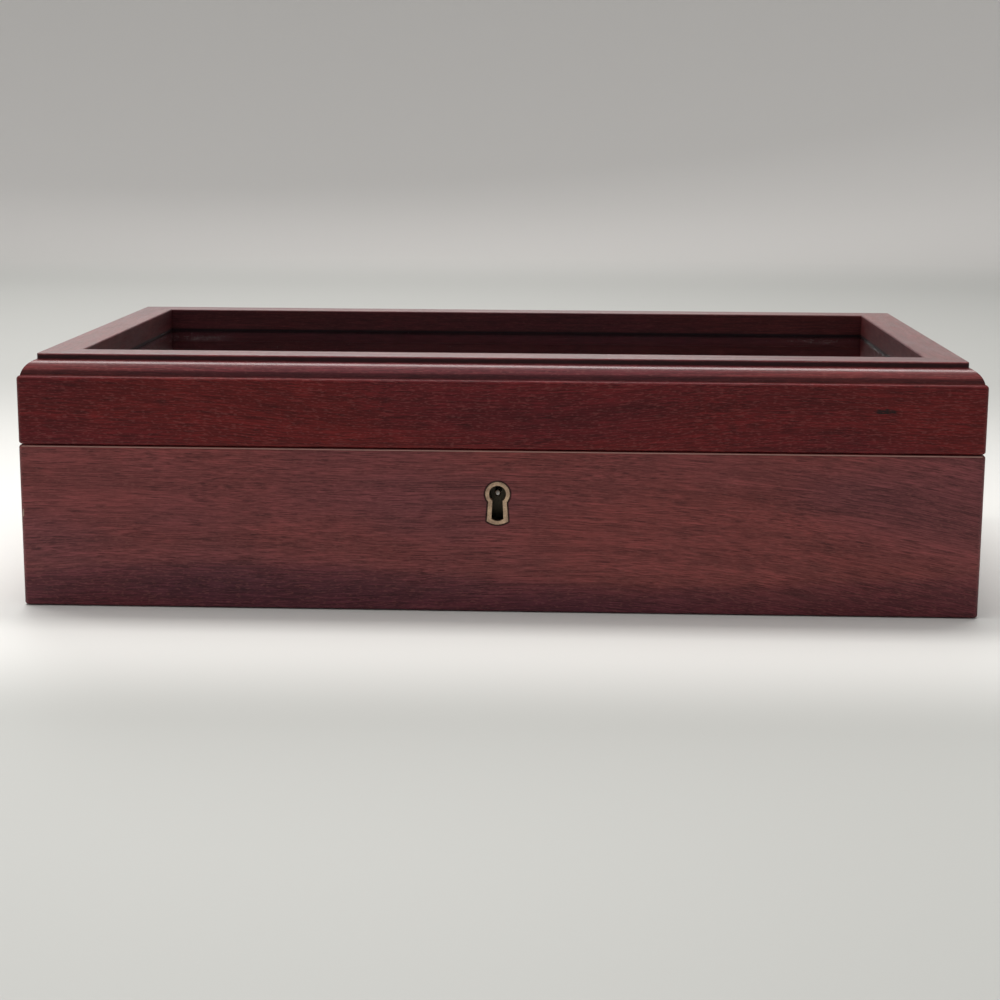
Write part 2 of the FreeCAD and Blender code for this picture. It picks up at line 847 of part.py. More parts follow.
inner_bow = ("bow_width - 2 * bow_thickness", "bow_rise - bow_thickness")
lock_spring = Piece("lock_spring")
lock_spring.pad(
    "XY",
    [
        [
            (f"-({inner_bow[0]}) / 2", "lock_back"),
            ("-bow_width / 2", "lock_back"),
            ("bow_width / 2", "lock_back", bow_radius("bow_width", "bow_rise"), "left"),
            (f"({inner_bow[0]}) / 2", "lock_back"),
        ]
    ],
    "bow_height",
    offset="base_height - bow_drop",
)
hollow = [
    (f"({inner_bow[0]}) / 2", "lock_back"),
    (f"-({inner_bow[0]}) / 2", "lock_back"),
    (f"({inner_bow[0]}) / 2", "lock_back", bow_radius(*inner_bow), "left"),
]
lock_spring.pocket("XY", [hollow[1:]], "bow_height", offset="base_height - bow_drop", reverse=True)

# Bolt: a flat bar with two fingers that pass through the staples when it is thrown


def finger(staple):
    """The corners of one finger, left to right along the bolt's top edge, for a staple centred at x."""
    tip = f"({staple} - staple_thickness / 2 - bolt_clearance)"
    root = f"({tip} - bolt_throw)"
    return [
        (root, "bolt_level"),
        (root, "finger_bottom"),
        (tip, "finger_bottom"),
        (tip, "finger_top"),
        (f"{root} - stem_width", "finger_top"),
        (f"{root} - stem_width", "bolt_level"),
    ]


def stud_slot(stud):
    return round_slot(f"({stud} - bolt_throw)", stud, f"({stud_level})", "(stud_radius + stud_clearance)")


right_finger = finger("staple_x")
left_finger = finger("(-staple_x)")
talon_middle = "(-bolt_throw / 2)"
bolt_foot = "base_height - bolt_bottom"
bolt_outline = [
    (left_finger[-1][0], bolt_foot),
    (f"{talon_middle} - talon_width / 2", bolt_foot),
    (f"{talon_middle} - talon_width / 2", f"{bolt_foot} + talon_depth"),
    (f"{talon_middle} + talon_width / 2", f"{bolt_foot} + talon_depth"),
    (f"{talon_middle} + talon_width / 2", bolt_foot),
    ("bolt_tail", bolt_foot),
    ("bolt_tail", "bolt_level"),
    *right_finger,
    *left_finger[:-1],
]
lock_bolt = Piece("lock_bolt")
lock_bolt.pad(
    "XZ",
    [bolt_outline, stud_slot(f"({stud_x})"), stud_slot(f"(-{stud_x})")],
    "bolt_thickness",
    offset="-(staple_middle + bolt_thickness / 2)",
)

for piece in (lock_plate, lock_cap, drill_pin, lock_studs, lock_spring, lock_bolt):
    place_on_side(piece, "front", "box_width", "box_depth", "felt_proud")

# Link plate: let into the lid's front rim over the lock, with two staples riveted to it

link_plate = Piece("link_plate")
link_plate.pad(
    "XY", [rectangle(f"-{lock_half}", "lock_front", lock_half, "board_thickness")], "link_thickness"
)
link_plate.pocket("XY", pair_of_holes("lock_screw_y", "pilot_radius"), "link_thickness", reverse=True)
link_plate.chamfer_edges("countersink", holes_on(link_plate, "Z", "0"))
lid["front"].pocket(
    "XY",
    [rectangle(f"-{half_recess}", lock_recess_front, half_recess, past_inside)],
    "link_thickness",
    reverse=True,
)
lid["front"].pocket("XY", pair_of_holes("lock_screw_y", "pilot_radius"), "pilot_depth", reverse=True)

staple_half = "staple_width / 2"
staple_end = "-(rim_gap + staple_drop)"
staple_hole = rectangle(
    f"staple_middle - {staple_half} + staple_cheek",
    f"{staple_end} + staple_foot",
    f"staple_middle + {staple_half} - staple_cheek",
    f"{staple_end} + staple_foot + staple_hole_height",
)
staple_loop = rectangle(
    f"staple_middle - {staple_half}", staple_end, f"staple_middle + {staple_half}", "0"
)
link_staples = Piece("link_staples")
for middle in ("staple_x", "-staple_x"):
    link_staples.pad(
        "YZ", [staple_loop, staple_hole], "staple_thickness", offset=middle, symmetric=True
    )

for piece in (link_plate, link_staples):
    place_on_side(piece, "front", "box_width", "box_depth", "lid_rim")

# Stop hinges: each leaf is let into its rim, and the barrel stands just behind the back boards.
# A bar behind the base's knuckles meets lips on the lid's knuckles when the lid is open.


def hinge_leaf(name, level_low, level_high, knuckles, first, stop):
    """A leaf in the frame of its pin: plate towards the box, knuckles on the pin, its half of the stop."""
    leaf = Piece(name)
    plate = rectangle("-(hinge_back + leaf_reach)", level_low, "-hinge_back", level_high)
    leaf.pad("YZ", [plate], "hinge_length", symmetric=True)
    start = f"{first} * knuckle_pitch"
    web = rectangle("-(hinge_back + leaf_reach)", level_low, "0", level_high)
    repeated = [
        leaf.pad("YZ", [web], "knuckle_width", offset=start, symmetric=True),
        leaf.pad("YZ", [circle("0", "0", "barrel_radius")], "knuckle_width", offset=start, symmetric=True),
        leaf.pad("YZ", [stop], "knuckle_width", offset=start, symmetric=True),
    ]
    leaf.row(repeated, "2 * knuckle_pitch", knuckles)
    return leaf


def pin_hole(leaf):
    leaf.pocket("YZ", [circle("0", "0", "hinge_pin_radius + hinge_pin_clearance")])




def stop_section(inner, start, end):
    """A stop's section between two angles, from an inner radius out to the stops' radius."""
    return [polar(inner, start), polar("stop_radius", start), polar("stop_radius", end), polar(inner, end)]


inside_barrel = "(barrel_radius + hinge_pin_radius) / 2"
bar_neck = stop_section(inside_barrel, "-stop_bar_bottom", "-stop_bar_top")
stop_bar = stop_section("barrel_radius + stop_clearance", "-stop_bar_bottom", "-stop_bar_top")
lip_start = "lid_open_angle - stop_bar_top + stop_slack"
stop_lip = stop_section(inside_barrel, lip_start, f"{lip_start} + stop_lip_span")

for side, hand in (("left", "-"), ("right", "")):
    base_leaf = hinge_leaf(
        f"hinge_{side}_base_leaf", "-rim_gap / 2 - leaf_thickness", "-rim_gap / 2", 3, -2, bar_neck
    )
    base_leaf.pad("YZ", [stop_bar], "hinge_length", symmetric=True)
    lid_leaf = hinge_leaf(
        f"hinge_{side}_lid_leaf", "rim_gap / 2", "rim_gap / 2 + leaf_thickness", 2, -1, stop_lip
    )
    pin = Piece(f"hinge_{side}_pin")
    pin.pad("YZ", [circle("0", "0", "hinge_pin_radius")], "hinge_length", symmetric=True)
    leaf_hole_y = "hinge_screw_inset + hinge_back"
    for leaf, outer, surface in (
        (base_leaf, "-rim_gap / 2", "-rim_gap / 2"),
        (lid_leaf, "rim_gap / 2", "rim_gap / 2"),
    ):
        pin_hole(leaf)
        holes = [
            circle(f"{step} * hinge_screw_pitch", f"-({leaf_hole_y})", "pilot_radius") for step in (-1, 0, 1)
        ]
        leaf.pocket("XY", holes, "leaf_thickness", offset=outer, reverse=leaf is lid_leaf)
        leaf.chamfer_edges("countersink", holes_on(leaf, "Z", surface))
    for piece in (base_leaf, lid_leaf, pin):
        piece.place(f"{hand}hinge_spacing / 2", "box_depth / 2 + hinge_back", "hinge_level")

# Mortises for the leaves in the two back boards, and pilot holes for their screws


def hinge_mortise(middle):
    half_width = "(hinge_length / 2 + mortise_clearance)"
    return rectangle(
        f"{middle} - {half_width}", f"-{OVERCUT}", f"{middle} + {half_width}", "leaf_reach + mortise_clearance"
    )


hinge_middles = ("hinge_spacing / 2", "-hinge_spacing / 2")
mortises = [hinge_mortise(middle) for middle in hinge_middles]
hinge_pilots = [
    circle(f"{middle} + {step} * hinge_screw_pitch", "hinge_screw_inset", "pilot_radius")
    for middle in hinge_middles
    for step in (-1, 0, 1)
]
base["back"].pocket("XY", mortises, "leaf_thickness", offset="base_height")
base["back"].pocket("XY", hinge_pilots, "pilot_depth", offset="base_height")
lid["back"].pocket("XY", mortises, "leaf_thickness", reverse=True)
lid["back"].pocket("XY", hinge_pilots, "pilot_depth", reverse=True)

# Screws: countersunk, slotted, each group turned from one screw whose head is at the body's origin


def screws(name, spacing, count, row_spacing=None):
    group = Piece(name)
    section = [
        ("0", "0"),
        ("0", "-screw_length"),
        ("screw_shank_radius", "screw_tip - screw_length"),
        ("screw_shank_radius", "screw_shank_radius - screw_head_radius"),
        ("screw_head_radius", "0"),
    ]
    turned = group.feature("Revolution", group.sketch("XZ", [section], "0"))
    turned.ReferenceAxis = (turned.Profile[0], ["V_Axis"])
    doc.recompute()
    half = "screw_slot_width / 2"
    across = f"screw_head_radius + {OVERCUT}"
    slot = group.pocket("XY", [rectangle(f"-({across})", f"-{half}", across, half)], "screw_slot_depth")
    if row_spacing:
        group.row_of_rows([turned, slot], spacing, count, row_spacing, 2)
    else:
        group.row([turned, slot], spacing, count)
    return group


upside_down = Rotation(Vector(1, 0, 0), 180)
facing_back = Rotation(Vector(1, 0, 0), -90)
first_hinge_screw = "-hinge_spacing / 2 - hinge_screw_pitch"
hinge_screw_y = "box_depth / 2 - hinge_screw_inset"
lock_screw_row = "lock_screw_y - box_depth / 2"
screws("hinge_base_screws", "hinge_screw_pitch", 3, "hinge_spacing").place(
    first_hinge_screw, hinge_screw_y, "base_rim"
)
screws("hinge_lid_screws", "hinge_screw_pitch", 3, "hinge_spacing").place(
    first_hinge_screw, hinge_screw_y, "lid_rim", upside_down
)
screws("lock_rim_screws", "lock_screw_spacing", 2).place("-lock_screw_x", lock_screw_row, "base_rim")
screws("lock_plate_screws", "lock_screw_spacing", 2).place(
    "-lock_screw_x", "board_thickness - box_depth / 2", "felt_proud + lock_screw_level", facing_back
)
screws("link_screws", "lock_screw_spacing", 2).place(
    "-lock_screw_x", lock_screw_row, "lid_rim", upside_down
)


# Pen tray: mitred rails round a rabbeted bottom, and a grooved rest for the pens


def tray_rail(name, length):
    rail = Piece(name)
    rail.pad("XY", [mitred_plan(length, "rail_thickness", "rail_corner")], "tray_height")
    top = value("tray_height")

    def long_top_edge(edge):
        box = rail.local_box(edge)
        return box.ZMin > top - 0.01 and box.XLength > box.YLength * 2

    rail.round_edges("rail_round", long_top_edge)
    rabbet = rectangle(
        "rail_thickness - tray_rabbet_width",
        f"-{OVERCUT}",
        f"rail_thickness + {OVERCUT}",
        "tray_bottom_thickness",
    )
    rail.pocket("YZ", [rabbet])
    return rail


rails = four_sides("tray_{side}_rail", "tray_width", "tray_depth", "tray_level", tray_rail)
notch_rise = "(notch_radius - notch_drop)"
notch_half = f"sqrt(notch_radius^2 - {notch_rise}^2)"
notch_top = f"tray_height + {OVERCUT}"
finger_notch = [
    (f"-{notch_half}", "tray_height"),
    (notch_half, "tray_height", "notch_radius", "left"),
    (notch_half, notch_top),
    (f"-{notch_half}", notch_top),
]
for side in ("left", "right"):
    rails[side].pocket("XZ", [finger_notch])

inside_rails = "2 * (rail_thickness - tray_rabbet_width + tray_bottom_clearance)"
slab(
    "tray_bottom",
    f"tray_width - {inside_rails}",
    f"tray_depth - {inside_rails}",
    "tray_bottom_thickness",
    "tray_level",
)

pen_rest = Piece("pen_rest")
rest_half = "rest_width / 2"
pen_rest.pad(
    "XY",
    [rectangle(f"-{rest_half}", "-rest_depth / 2", rest_half, "rest_depth / 2")],
    "rest_height",
    offset="tray_bottom_thickness",
)
first_groove = f"groove_pitch / 2 - {rest_half}"
groove = pen_rest.pocket("XZ", [circle(first_groove, "groove_axis", "groove_radius")])
pen_rest.row([groove], "groove_pitch", "groove_count")


def ridge_edge(edge):
    """The long top edges of the ridges between grooves, not those at the rest's two ends."""
    box = edge.BoundBox
    return (
        box.YLength > value("rest_depth") - 1
        and box.ZMin > value("tray_bottom_thickness + rest_height") - 0.01
        and max(abs(box.XMin), abs(box.XMax)) < value(rest_half) - 0.01
    )


pen_rest.round_edges("ridge_round", ridge_edge)
pen_rest.place(z="tray_level")

doc.recompute()
for item in doc.Objects:
    assert "Invalid" not in item.State and "Error" not in item.State, f"{item.Label} failed"
os.makedirs("parts", exist_ok=True)
for piece in Piece.all_pieces:
    shape = piece.body.Shape
    assert not shape.isNull() and shape.isValid() and shape.Solids, f"{piece.body.Label} has no valid solid"
for piece in Piece.all_pieces:
    piece.body.Shape.exportStep(f"parts/{piece.body.Label}.step")
print(len(Piece.all_pieces), "sub-parts written")
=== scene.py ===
import math

import bmesh
import bpy
import numpy as np
from mathutils import Matrix, Vector


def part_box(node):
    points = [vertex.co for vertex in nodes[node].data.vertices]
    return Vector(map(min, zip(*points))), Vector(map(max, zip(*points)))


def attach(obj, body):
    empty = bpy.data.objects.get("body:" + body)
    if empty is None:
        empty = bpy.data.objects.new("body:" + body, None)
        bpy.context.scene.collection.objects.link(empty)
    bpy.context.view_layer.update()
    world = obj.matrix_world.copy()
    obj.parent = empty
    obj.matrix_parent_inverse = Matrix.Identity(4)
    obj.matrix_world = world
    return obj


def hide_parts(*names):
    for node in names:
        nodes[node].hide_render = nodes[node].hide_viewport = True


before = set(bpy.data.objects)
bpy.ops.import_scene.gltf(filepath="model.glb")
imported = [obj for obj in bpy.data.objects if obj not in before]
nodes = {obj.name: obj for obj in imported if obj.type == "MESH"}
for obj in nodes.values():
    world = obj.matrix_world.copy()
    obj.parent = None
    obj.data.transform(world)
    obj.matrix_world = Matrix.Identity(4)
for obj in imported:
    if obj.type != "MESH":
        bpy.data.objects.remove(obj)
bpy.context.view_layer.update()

# Studio: the box stands in a wide pale bowl, a flat floor that turns up into a low wall all round, so every
# view has the same ground. Its floor has painted light and shade: paler round the box, greyer in front and behind.
# A broad lamp and a narrow one hang over the box, and a third stands behind it.
# The camera looks down a little from under a metre away, slightly to the right of the box's middle.


def grid_mesh(name, points, round_columns=False):
    """A mesh on an array of points, rows by columns by three. Each cell between four neighbours is a face, and
    round columns join the last column of points to the first."""
    rows, columns = points.shape[:2]
    number = np.arange(rows * columns).reshape(rows, columns)
    if round_columns:
        number = np.hstack([number, number[:, :1]])
    faces = np.stack([number[:-1, :-1], number[:-1, 1:], number[1:, 1:], number[1:, :-1]], -1).reshape(-1, 4)
    mesh = bpy.data.meshes.new(name)
    mesh.vertices.add(rows * columns)
    mesh.vertices.foreach_set("co", points.reshape(-1, 3).astype(np.float32).ravel())
    mesh.loops.add(faces.size)
    mesh.loops.foreach_set("vertex_index", faces.ravel().astype(np.int32))
    mesh.polygons.add(len(faces))
    mesh.polygons.foreach_set("loop_start", np.arange(0, faces.size, 4, dtype=np.int32))
    mesh.polygons.foreach_set("loop_total", np.full(len(faces), 4, np.int32))
    mesh.update(calc_edges=True)
    mesh.shade_smooth()
    return mesh


def show(name, mesh, material):
    """Puts a mesh with one material into the scene, at the origin."""
    piece = bpy.data.objects.new(name, mesh)
    bpy.context.scene.collection.objects.link(piece)
    mesh.materials.append(material)
    return piece


def put(tree, kind, inputs, **settings):
    """Places a shader node. Each input is a number or colour, or an output that is joined to it."""
    node = tree.nodes.new("ShaderNode" + kind)
    for name, setting in settings.items():
        setattr(node, name, setting)
    for name, given in inputs.items():
        if isinstance(given, bpy.types.NodeSocket):
            tree.links.new(given, node.inputs[name])
        else:
            node.inputs[name].default_value = given
    return node


def soft_step(tree, value, low, high, low_result=0.0, high_result=1.0):
    """A smooth step from one result to another as the value goes from low to high."""
    inputs = {"Value": value, "From Min": low, "From Max": high, "To Min": low_result, "To Max": high_result}
    return put(tree, "MapRange", inputs, interpolation_type="SMOOTHSTEP").outputs["Result"]


def mix_colours(tree, share, first, second, kind="MIX"):
    """The first colour where share is 0 and the second where it is 1, or another of the mixing kinds."""
    inputs = {"Factor": share, 6: first, 7: second}
    return put(tree, "Mix", inputs, data_type="RGBA", blend_type=kind).outputs[2]


def finish(name, constant, changing):
    """A material with one Principled shader. changing(tree) gives the inputs that vary over the surface."""
    material = bpy.data.materials.new(name)
    material.use_nodes = True
    tree = material.node_tree
    tree.nodes.clear()
    shader = put(tree, "BsdfPrincipled", {**constant, **changing(tree)})
    put(tree, "OutputMaterial", {"Surface": shader.outputs["BSDF"]})
    return material


# The bowl's section is flat out to floor_reach, then a quarter turn of turn_radius, then upright to
# wall_height. It is carried a full circle about Z.
floor_reach = 1.9
turn_radius = 1.1
wall_height = 1.9
bend = np.linspace(0, math.pi / 2, 24)
reach = np.concatenate([[0.02, 0.3, 0.8, 1.4], floor_reach + turn_radius * np.sin(bend), [floor_reach + turn_radius]])
level = np.concatenate([np.zeros(4), turn_radius * (1 - np.cos(bend)), [wall_height]])
turn = np.linspace(0, 2 * math.pi, 96, endpoint=False)
bowl_points = np.stack(
    [
        np.outer(reach, np.cos(turn)),
        np.outer(reach, np.sin(turn)),
        np.outer(level, np.ones_like(turn)),
    ],
    -1,
)
# Floor colours with painted light and shade in them: white for the pool of light round the box, greys for shade.
floor_white = (0.78, 0.77, 0.745, 1)
shaded_floor_grey = (0.52, 0.52, 0.497, 1)
shaded_front_grey = (0.56, 0.555, 0.535, 1)
shaded_rear_grey = (0.47, 0.47, 0.45, 1)
wall_white = (0.82, 0.795, 0.77, 1)


def bowl_colours(tree):
    """Painted light and shade on the floor: nearly white round the box as a painted pool of light, greyer in front
    of it and behind it as painted shade, and paler again at the far wall.
    """
    place = put(tree, "TexCoord", {}).outputs["Object"]
    parts = put(tree, "SeparateXYZ", {"Vector": place}).outputs
    colour = mix_colours(tree, soft_step(tree, parts["Y"], -0.15, -0.25), floor_white, shaded_floor_grey)
    colour = mix_colours(tree, soft_step(tree, parts["Y"], -0.40, -0.75), colour, shaded_front_grey)
    colour = mix_colours(tree, soft_step(tree, parts["Y"], 0.05, 0.6), colour, shaded_rear_grey)
    colour = mix_colours(tree, soft_step(tree, parts["Y"], 1.4, 2.2), colour, wall_white)
    return {"Base Color": colour}


bowl_mesh = grid_mesh("studio_bowl", bowl_points, round_columns=True)
bowl_finish = finish("studio_bowl", {"Roughness": 0.55, "Specular IOR Level": 0.25}, bowl_colours)
bowl = show("studio_bowl", bowl_mesh, bowl_finish)

sky = bpy.data.worlds.new("studio_sky")
sky.use_nodes = True
sky.node_tree.nodes["Background"].inputs["Color"].default_value = (0.97, 0.985, 1.0, 1)
sky.node_tree.nodes["Background"].inputs["Strength"].default_value = 0.45
bpy.context.scene.world = sky


def soft_lamp(name, place, target, width, depth, power, colour, mirrored=True):
    """A rectangular lamp at a place, its face turned to a target. A lamp that isn't mirrored leaves no image of
    itself in the window."""
    lamp = bpy.data.lights.new(name, "AREA")
    lamp.shape = "RECTANGLE"
    lamp.size = width
    lamp.size_y = depth
    lamp.energy = power
    lamp.color = colour
    hung = bpy.data.objects.new(name, lamp)
    bpy.context.scene.collection.objects.link(hung)
    hung.location = place
    hung.rotation_euler = (Vector(target) - Vector(place)).to_track_quat("-Z", "Y").to_euler()
    hung.visible_glossy = mirrored
    hung.visible_transmission = mirrored


soft_lamp("overhead_lamp", (-0.25, 0.15, 1.5), (0, 0.02, 0.05), 1.5, 1.1, 11.5, (1.0, 0.99, 0.97), mirrored=False)
soft_lamp("strip_lamp", (-0.2, 0.33, 1.5), (-0.2, 0.0, 0.08), 1.7, 0.36, 13.4, (1.0, 0.99, 0.97))
soft_lamp("rear_lamp", (-0.4, 1.7, 1.05), (0, 0.1, 0.08), 1.4, 0.6, 8.8, (1.0, 0.99, 0.98))

# The camera's pose was worked out from the box's straight edges in the picture.
image_side = 1000
focal_in_pixels = 1969.66
pitch, yaw, roll = 0.1876, 0.0377, 0.0055
camera_place = (0.02783, -0.8159, 0.17809)
level_camera = np.array([[1, 0, 0], [0, 0, -1], [0, 1, 0]], float)
tip = np.array([[1, 0, 0], [0, math.cos(pitch), -math.sin(pitch)], [0, math.sin(pitch), math.cos(pitch)]])
swing = np.array([[math.cos(yaw), 0, math.sin(yaw)], [0, 1, 0], [-math.sin(yaw), 0, math.cos(yaw)]])
lean = np.array([[math.cos(roll), -math.sin(roll), 0], [math.sin(roll), math.cos(roll), 0], [0, 0, 1]])
to_camera = lean @ tip @ swing @ level_camera
lens = bpy.data.cameras.new("camera")
lens.sensor_width = 36.0
lens.lens = focal_in_pixels * lens.sensor_width / image_side
lens.clip_start = 0.01
lens.clip_end = 20.0
camera = bpy.data.objects.new("camera", lens)
bpy.context.scene.collection.objects.link(camera)
camera.location = camera_place
camera.rotation_euler = Matrix((to_camera.T @ np.diag([1, -1, -1])).tolist()).to_euler()
bpy.context.scene.camera = camera
bpy.context.scene.view_settings.view_transform = "Standard"

# Base: four mahogany boards, mitred at the corners, with their edges eased, and a bottom panel let into a
# rabbet. The wood is stained dark red and has a thin satin lacquer, so its pores show as short dark dashes.
# The front board has a darker band of wood along its foot and grain that runs downhill at its right end.


def shader_group(name, inputs, outputs):
    """An empty node group. inputs lists (name, socket kind, default), outputs (name, socket kind)."""
    group = bpy.data.node_groups.new(name, "ShaderNodeTree")
    for label, kind, default in inputs:
        group.interface.new_socket(label, in_out="INPUT", socket_type="NodeSocket" + kind).default_value = default
    for label, kind in outputs:
        group.interface.new_socket(label, in_out="OUTPUT", socket_type="NodeSocket" + kind)
    entry = group.nodes.new("NodeGroupInput")
    leave = group.nodes.new("NodeGroupOutput")
    return group, entry.outputs, leave


def noise(tree, vector, along, across, detail=1.0, rough=0.5, result="Fac"):
    """Noise whose cells are along millimetres long and across millimetres wide and deep."""
    size = (1 / along, 1 / across, 1 / across)
    scaled = put(tree, "VectorMath", {0: vector, 1: size}, operation="MULTIPLY").outputs["Vector"]
    node = put(tree, "TexNoise", {"Vector": scaled, "Scale": 1.0, "Detail": detail, "Roughness": rough})
    return node.outputs[result]


def maths(tree, operation, first, second=0.0, third=0.0):
    return put(tree, "Math", {0: first, 1: second, 2: third}, operation=operation).outputs["Value"]


def scaled_vector(tree, vector, times):
    return put(tree, "VectorMath", {0: vector, "Scale": times}, operation="SCALE").outputs["Vector"]


def add_vectors(tree, first, second):
    return put(tree, "VectorMath", {0: first, 1: second}, operation="ADD").outputs["Vector"]


def make_mahogany():
    """Stained mahogany, in millimetres with the grain along X. The grain wanders sideways by about Wander, and
    past Bend From it falls by Bend times the square of the distance. The wood is darker and bluer below
    Dark Below, a level that rises and falls by Dark Wave and is highest at Dark Crest. The colour drifts between
    Cool and Warm. Matt is the roughness of the lacquer, and Open Pores how much the pores show."""
    group, given, leave = shader_group(
        "mahogany",
        [
            ("Vector", "Vector", (0, 0, 0)),
            ("Wander", "Float", 9.0),
            ("Bend", "Float", 0.0),
            ("Bend From", "Float", 0.0),
            ("Dark Below", "Float", -1000.0),
            ("Dark Wave", "Float", 0.0),
            ("Dark Crest", "Float", 0.0),
            ("Cool", "Color", (0.158, 0.042, 0.048, 1)),
            ("Warm", "Color", (0.215, 0.046, 0.041, 1)),
            ("Matt", "Float", 0.39),
            ("Open Pores", "Float", 1.0),
        ],
        [("Color", "Color"), ("Roughness", "Float"), ("Height", "Float")],
    )
    vector = given["Vector"]
    along = put(group, "SeparateXYZ", {"Vector": vector}).outputs["X"]

    # Where the grain runs: a slow wander, a finer waver and the bend
    slow = add_vectors(group, noise(group, vector, 150, 55, 1.0, 0.4, "Color"), (-0.5, -0.5, -0.5))
    fine = add_vectors(group, noise(group, vector, 42, 10, 1.0, 0.5, "Color"), (-0.5, -0.5, -0.5))
    slow = scaled_vector(group, slow, maths(group, "MULTIPLY", given["Wander"], 2.0))
    moved = add_vectors(group, slow, scaled_vector(group, fine, 1.1))
    sideways = put(group, "VectorMath", {0: moved, 1: (0, 1, 1)}, operation="MULTIPLY").outputs["Vector"]
    past = maths(group, "MAXIMUM", maths(group, "SUBTRACT", along, given["Bend From"]), 0.0)
    fall = maths(group, "MULTIPLY", maths(group, "MULTIPLY", past, past), given["Bend"])
    fallen = put(group, "CombineXYZ", {"Z": fall}).outputs["Vector"]
    grain = add_vectors(group, add_vectors(group, vector, sideways), fallen)

    # Broad colour: patches of purple and orange, growth bands, soft streaks and a shimmer across the grain
    patches = noise(group, vector, 120, 38, 2.0, 0.45)
    hue = soft_step(group, patches, 0.34, 0.66, 0.15, 0.85)
    bands = noise(group, grain, 600, 6.5, 2.0, 0.5)
    streaks = noise(group, grain, 64, 0.8, 3.0, 0.6)
    shimmer = noise(group, vector, 11, 34, 2.0, 0.5)
    light = maths(group, "MULTIPLY_ADD", bands, 0.5, maths(group, "MULTIPLY", streaks, 0.8))
    light = maths(group, "MULTIPLY_ADD", shimmer, 0.25, light)
    light = soft_step(group, light, 0.56, 0.99, 0.76, 1.26)
    wood = scaled_vector(group, mix_colours(group, hue, given["Cool"], given["Warm"]), light)

    # The darker wood at the foot. Its level is a cosine along the board.
    wave_length = 49.0
    phase = maths(group, "DIVIDE", maths(group, "SUBTRACT", along, given["Dark Crest"]), wave_length)
    line = maths(group, "MULTIPLY_ADD", maths(group, "COSINE", phase), given["Dark Wave"], given["Dark Below"])
    height = put(group, "SeparateXYZ", {"Vector": add_vectors(group, vector, scaled_vector(group, sideways, 0.2))})
    under = maths(group, "SUBTRACT", line, height.outputs["Z"])
    heart = maths(group, "ADD", soft_step(group, under, -2.5, 1.5, 0, 0.55), soft_step(group, under, -5, 12, 0, 0.5))
    wood = mix_colours(group, heart, wood, (0.56, 0.46, 0.66, 1), "MULTIPLY")

    # Pores: short dark dashes, some with a pale one beside them
    pores = soft_step(group, noise(group, grain, 6.0, 0.34, 1.0, 0.4), 0.47, 0.34)
    crowd = soft_step(group, noise(group, grain, 18, 3.5, 1.0), 0.35, 0.6, 0.5, 1.0)
    pores = maths(group, "MULTIPLY", maths(group, "MULTIPLY", pores, crowd), given["Open Pores"])
    pale = soft_step(group, noise(group, add_vectors(group, grain, (37, 11, 5)), 1.9, 0.42, 1.0, 0.4), 0.54, 0.68)
    grit = soft_step(group, noise(group, grain, 9.0, 0.34, 2.0, 0.6), 0.32, 0.68, 0.70, 1.32)
    wood = scaled_vector(group, wood, grit)
    wood = mix_colours(group, maths(group, "MULTIPLY", pores, 0.45), wood, (0.020, 0.0050, 0.0060, 1))
    wood = mix_colours(group, maths(group, "MULTIPLY", pale, 0.22), wood, (0.34, 0.105, 0.095, 1))

    peel = noise(group, vector, 1.5, 0.7, 2.0, 0.6)
    roughness = soft_step(group, noise(group, grain, 20, 6, 2.0), 0.3, 0.7, -0.05, 0.05)
    roughness = maths(group, "ADD", roughness, given["Matt"])
    roughness = maths(group, "MULTIPLY_ADD", pores, 0.14, roughness)
    relief = maths(group, "MULTIPLY_ADD", peel, 0.8, maths(group, "MULTIPLY", pores, -0.9))
    relief = maths(group, "MULTIPLY_ADD", streaks, 0.5, relief)
    group.links.new(wood, leave.inputs["Color"])
    group.links.new(roughness, leave.inputs["Roughness"])
    group.links.new(relief, leave.inputs["Height"])
    return group


def make_marks():
    """Wear in one place: broken flecks, densest at Centre and none past Reach, both in millimetres."""
    group, given, leave = shader_group(
        "worn_marks",
        [
            ("Vector", "Vector", (0, 0, 0)),
            ("Centre", "Vector", (0, 0, 0)),
            ("Reach", "Vector", (1, 1, 1)),
            ("Fleck", "Vector", (1, 1, 1)),
            ("Amount", "Float", 0.5),
        ],
        [("Mask", "Float")],
    )
    away = put(group, "VectorMath", {0: given["Vector"], 1: given["Centre"]}, operation="SUBTRACT").outputs["Vector"]
    away = put(group, "VectorMath", {0: away, 1: given["Reach"]}, operation="DIVIDE").outputs["Vector"]
    distance = put(group, "VectorMath", {0: away}, operation="LENGTH").outputs["Value"]
    near = soft_step(group, distance, 1.0, 0.2)
    cells = put(group, "VectorMath", {0: given["Vector"], 1: given["Fleck"]}, operation="DIVIDE").outputs["Vector"]
    flecks = put(group, "TexNoise", {"Vector": cells, "Scale": 1.0, "Detail": 2.0}).outputs["Fac"]
    broken = maths(group, "ADD", flecks, maths(group, "MULTIPLY", near, given["Amount"]))
    mask = maths(group, "MULTIPLY", soft_step(group, broken, 0.78, 0.90), soft_step(group, distance, 1.0, 0.85))
    group.links.new(mask, leave.inputs["Mask"])
    return group


mahogany = make_mahogany()
worn_marks = make_marks()


def in_millimetres(tree, turned=False, offset=(0, 0, 0)):
    """Object coordinates in millimetres, turned so that X runs along the board, moved so that boards differ."""
    place = put(tree, "TexCoord", {}).outputs["Object"]
    turn_about_z = math.pi / 2 if turned else 0.0
    inputs = {"Vector": place, "Location": offset, "Rotation": (0, 0, turn_about_z), "Scale": (1000, 1000, 1000)}
    return put(tree, "Mapping", inputs, vector_type="POINT").outputs["Vector"]


def placed_group(tree, group, inputs):
    """Puts a node group into a material with its own values, and gives its outputs."""
    node = put(tree, "Group", {}, node_tree=group)
    for name, given in inputs.items():
        if isinstance(given, bpy.types.NodeSocket):
            tree.links.new(given, node.inputs[name])
        else:
            node.inputs[name].default_value = given
    return node.outputs


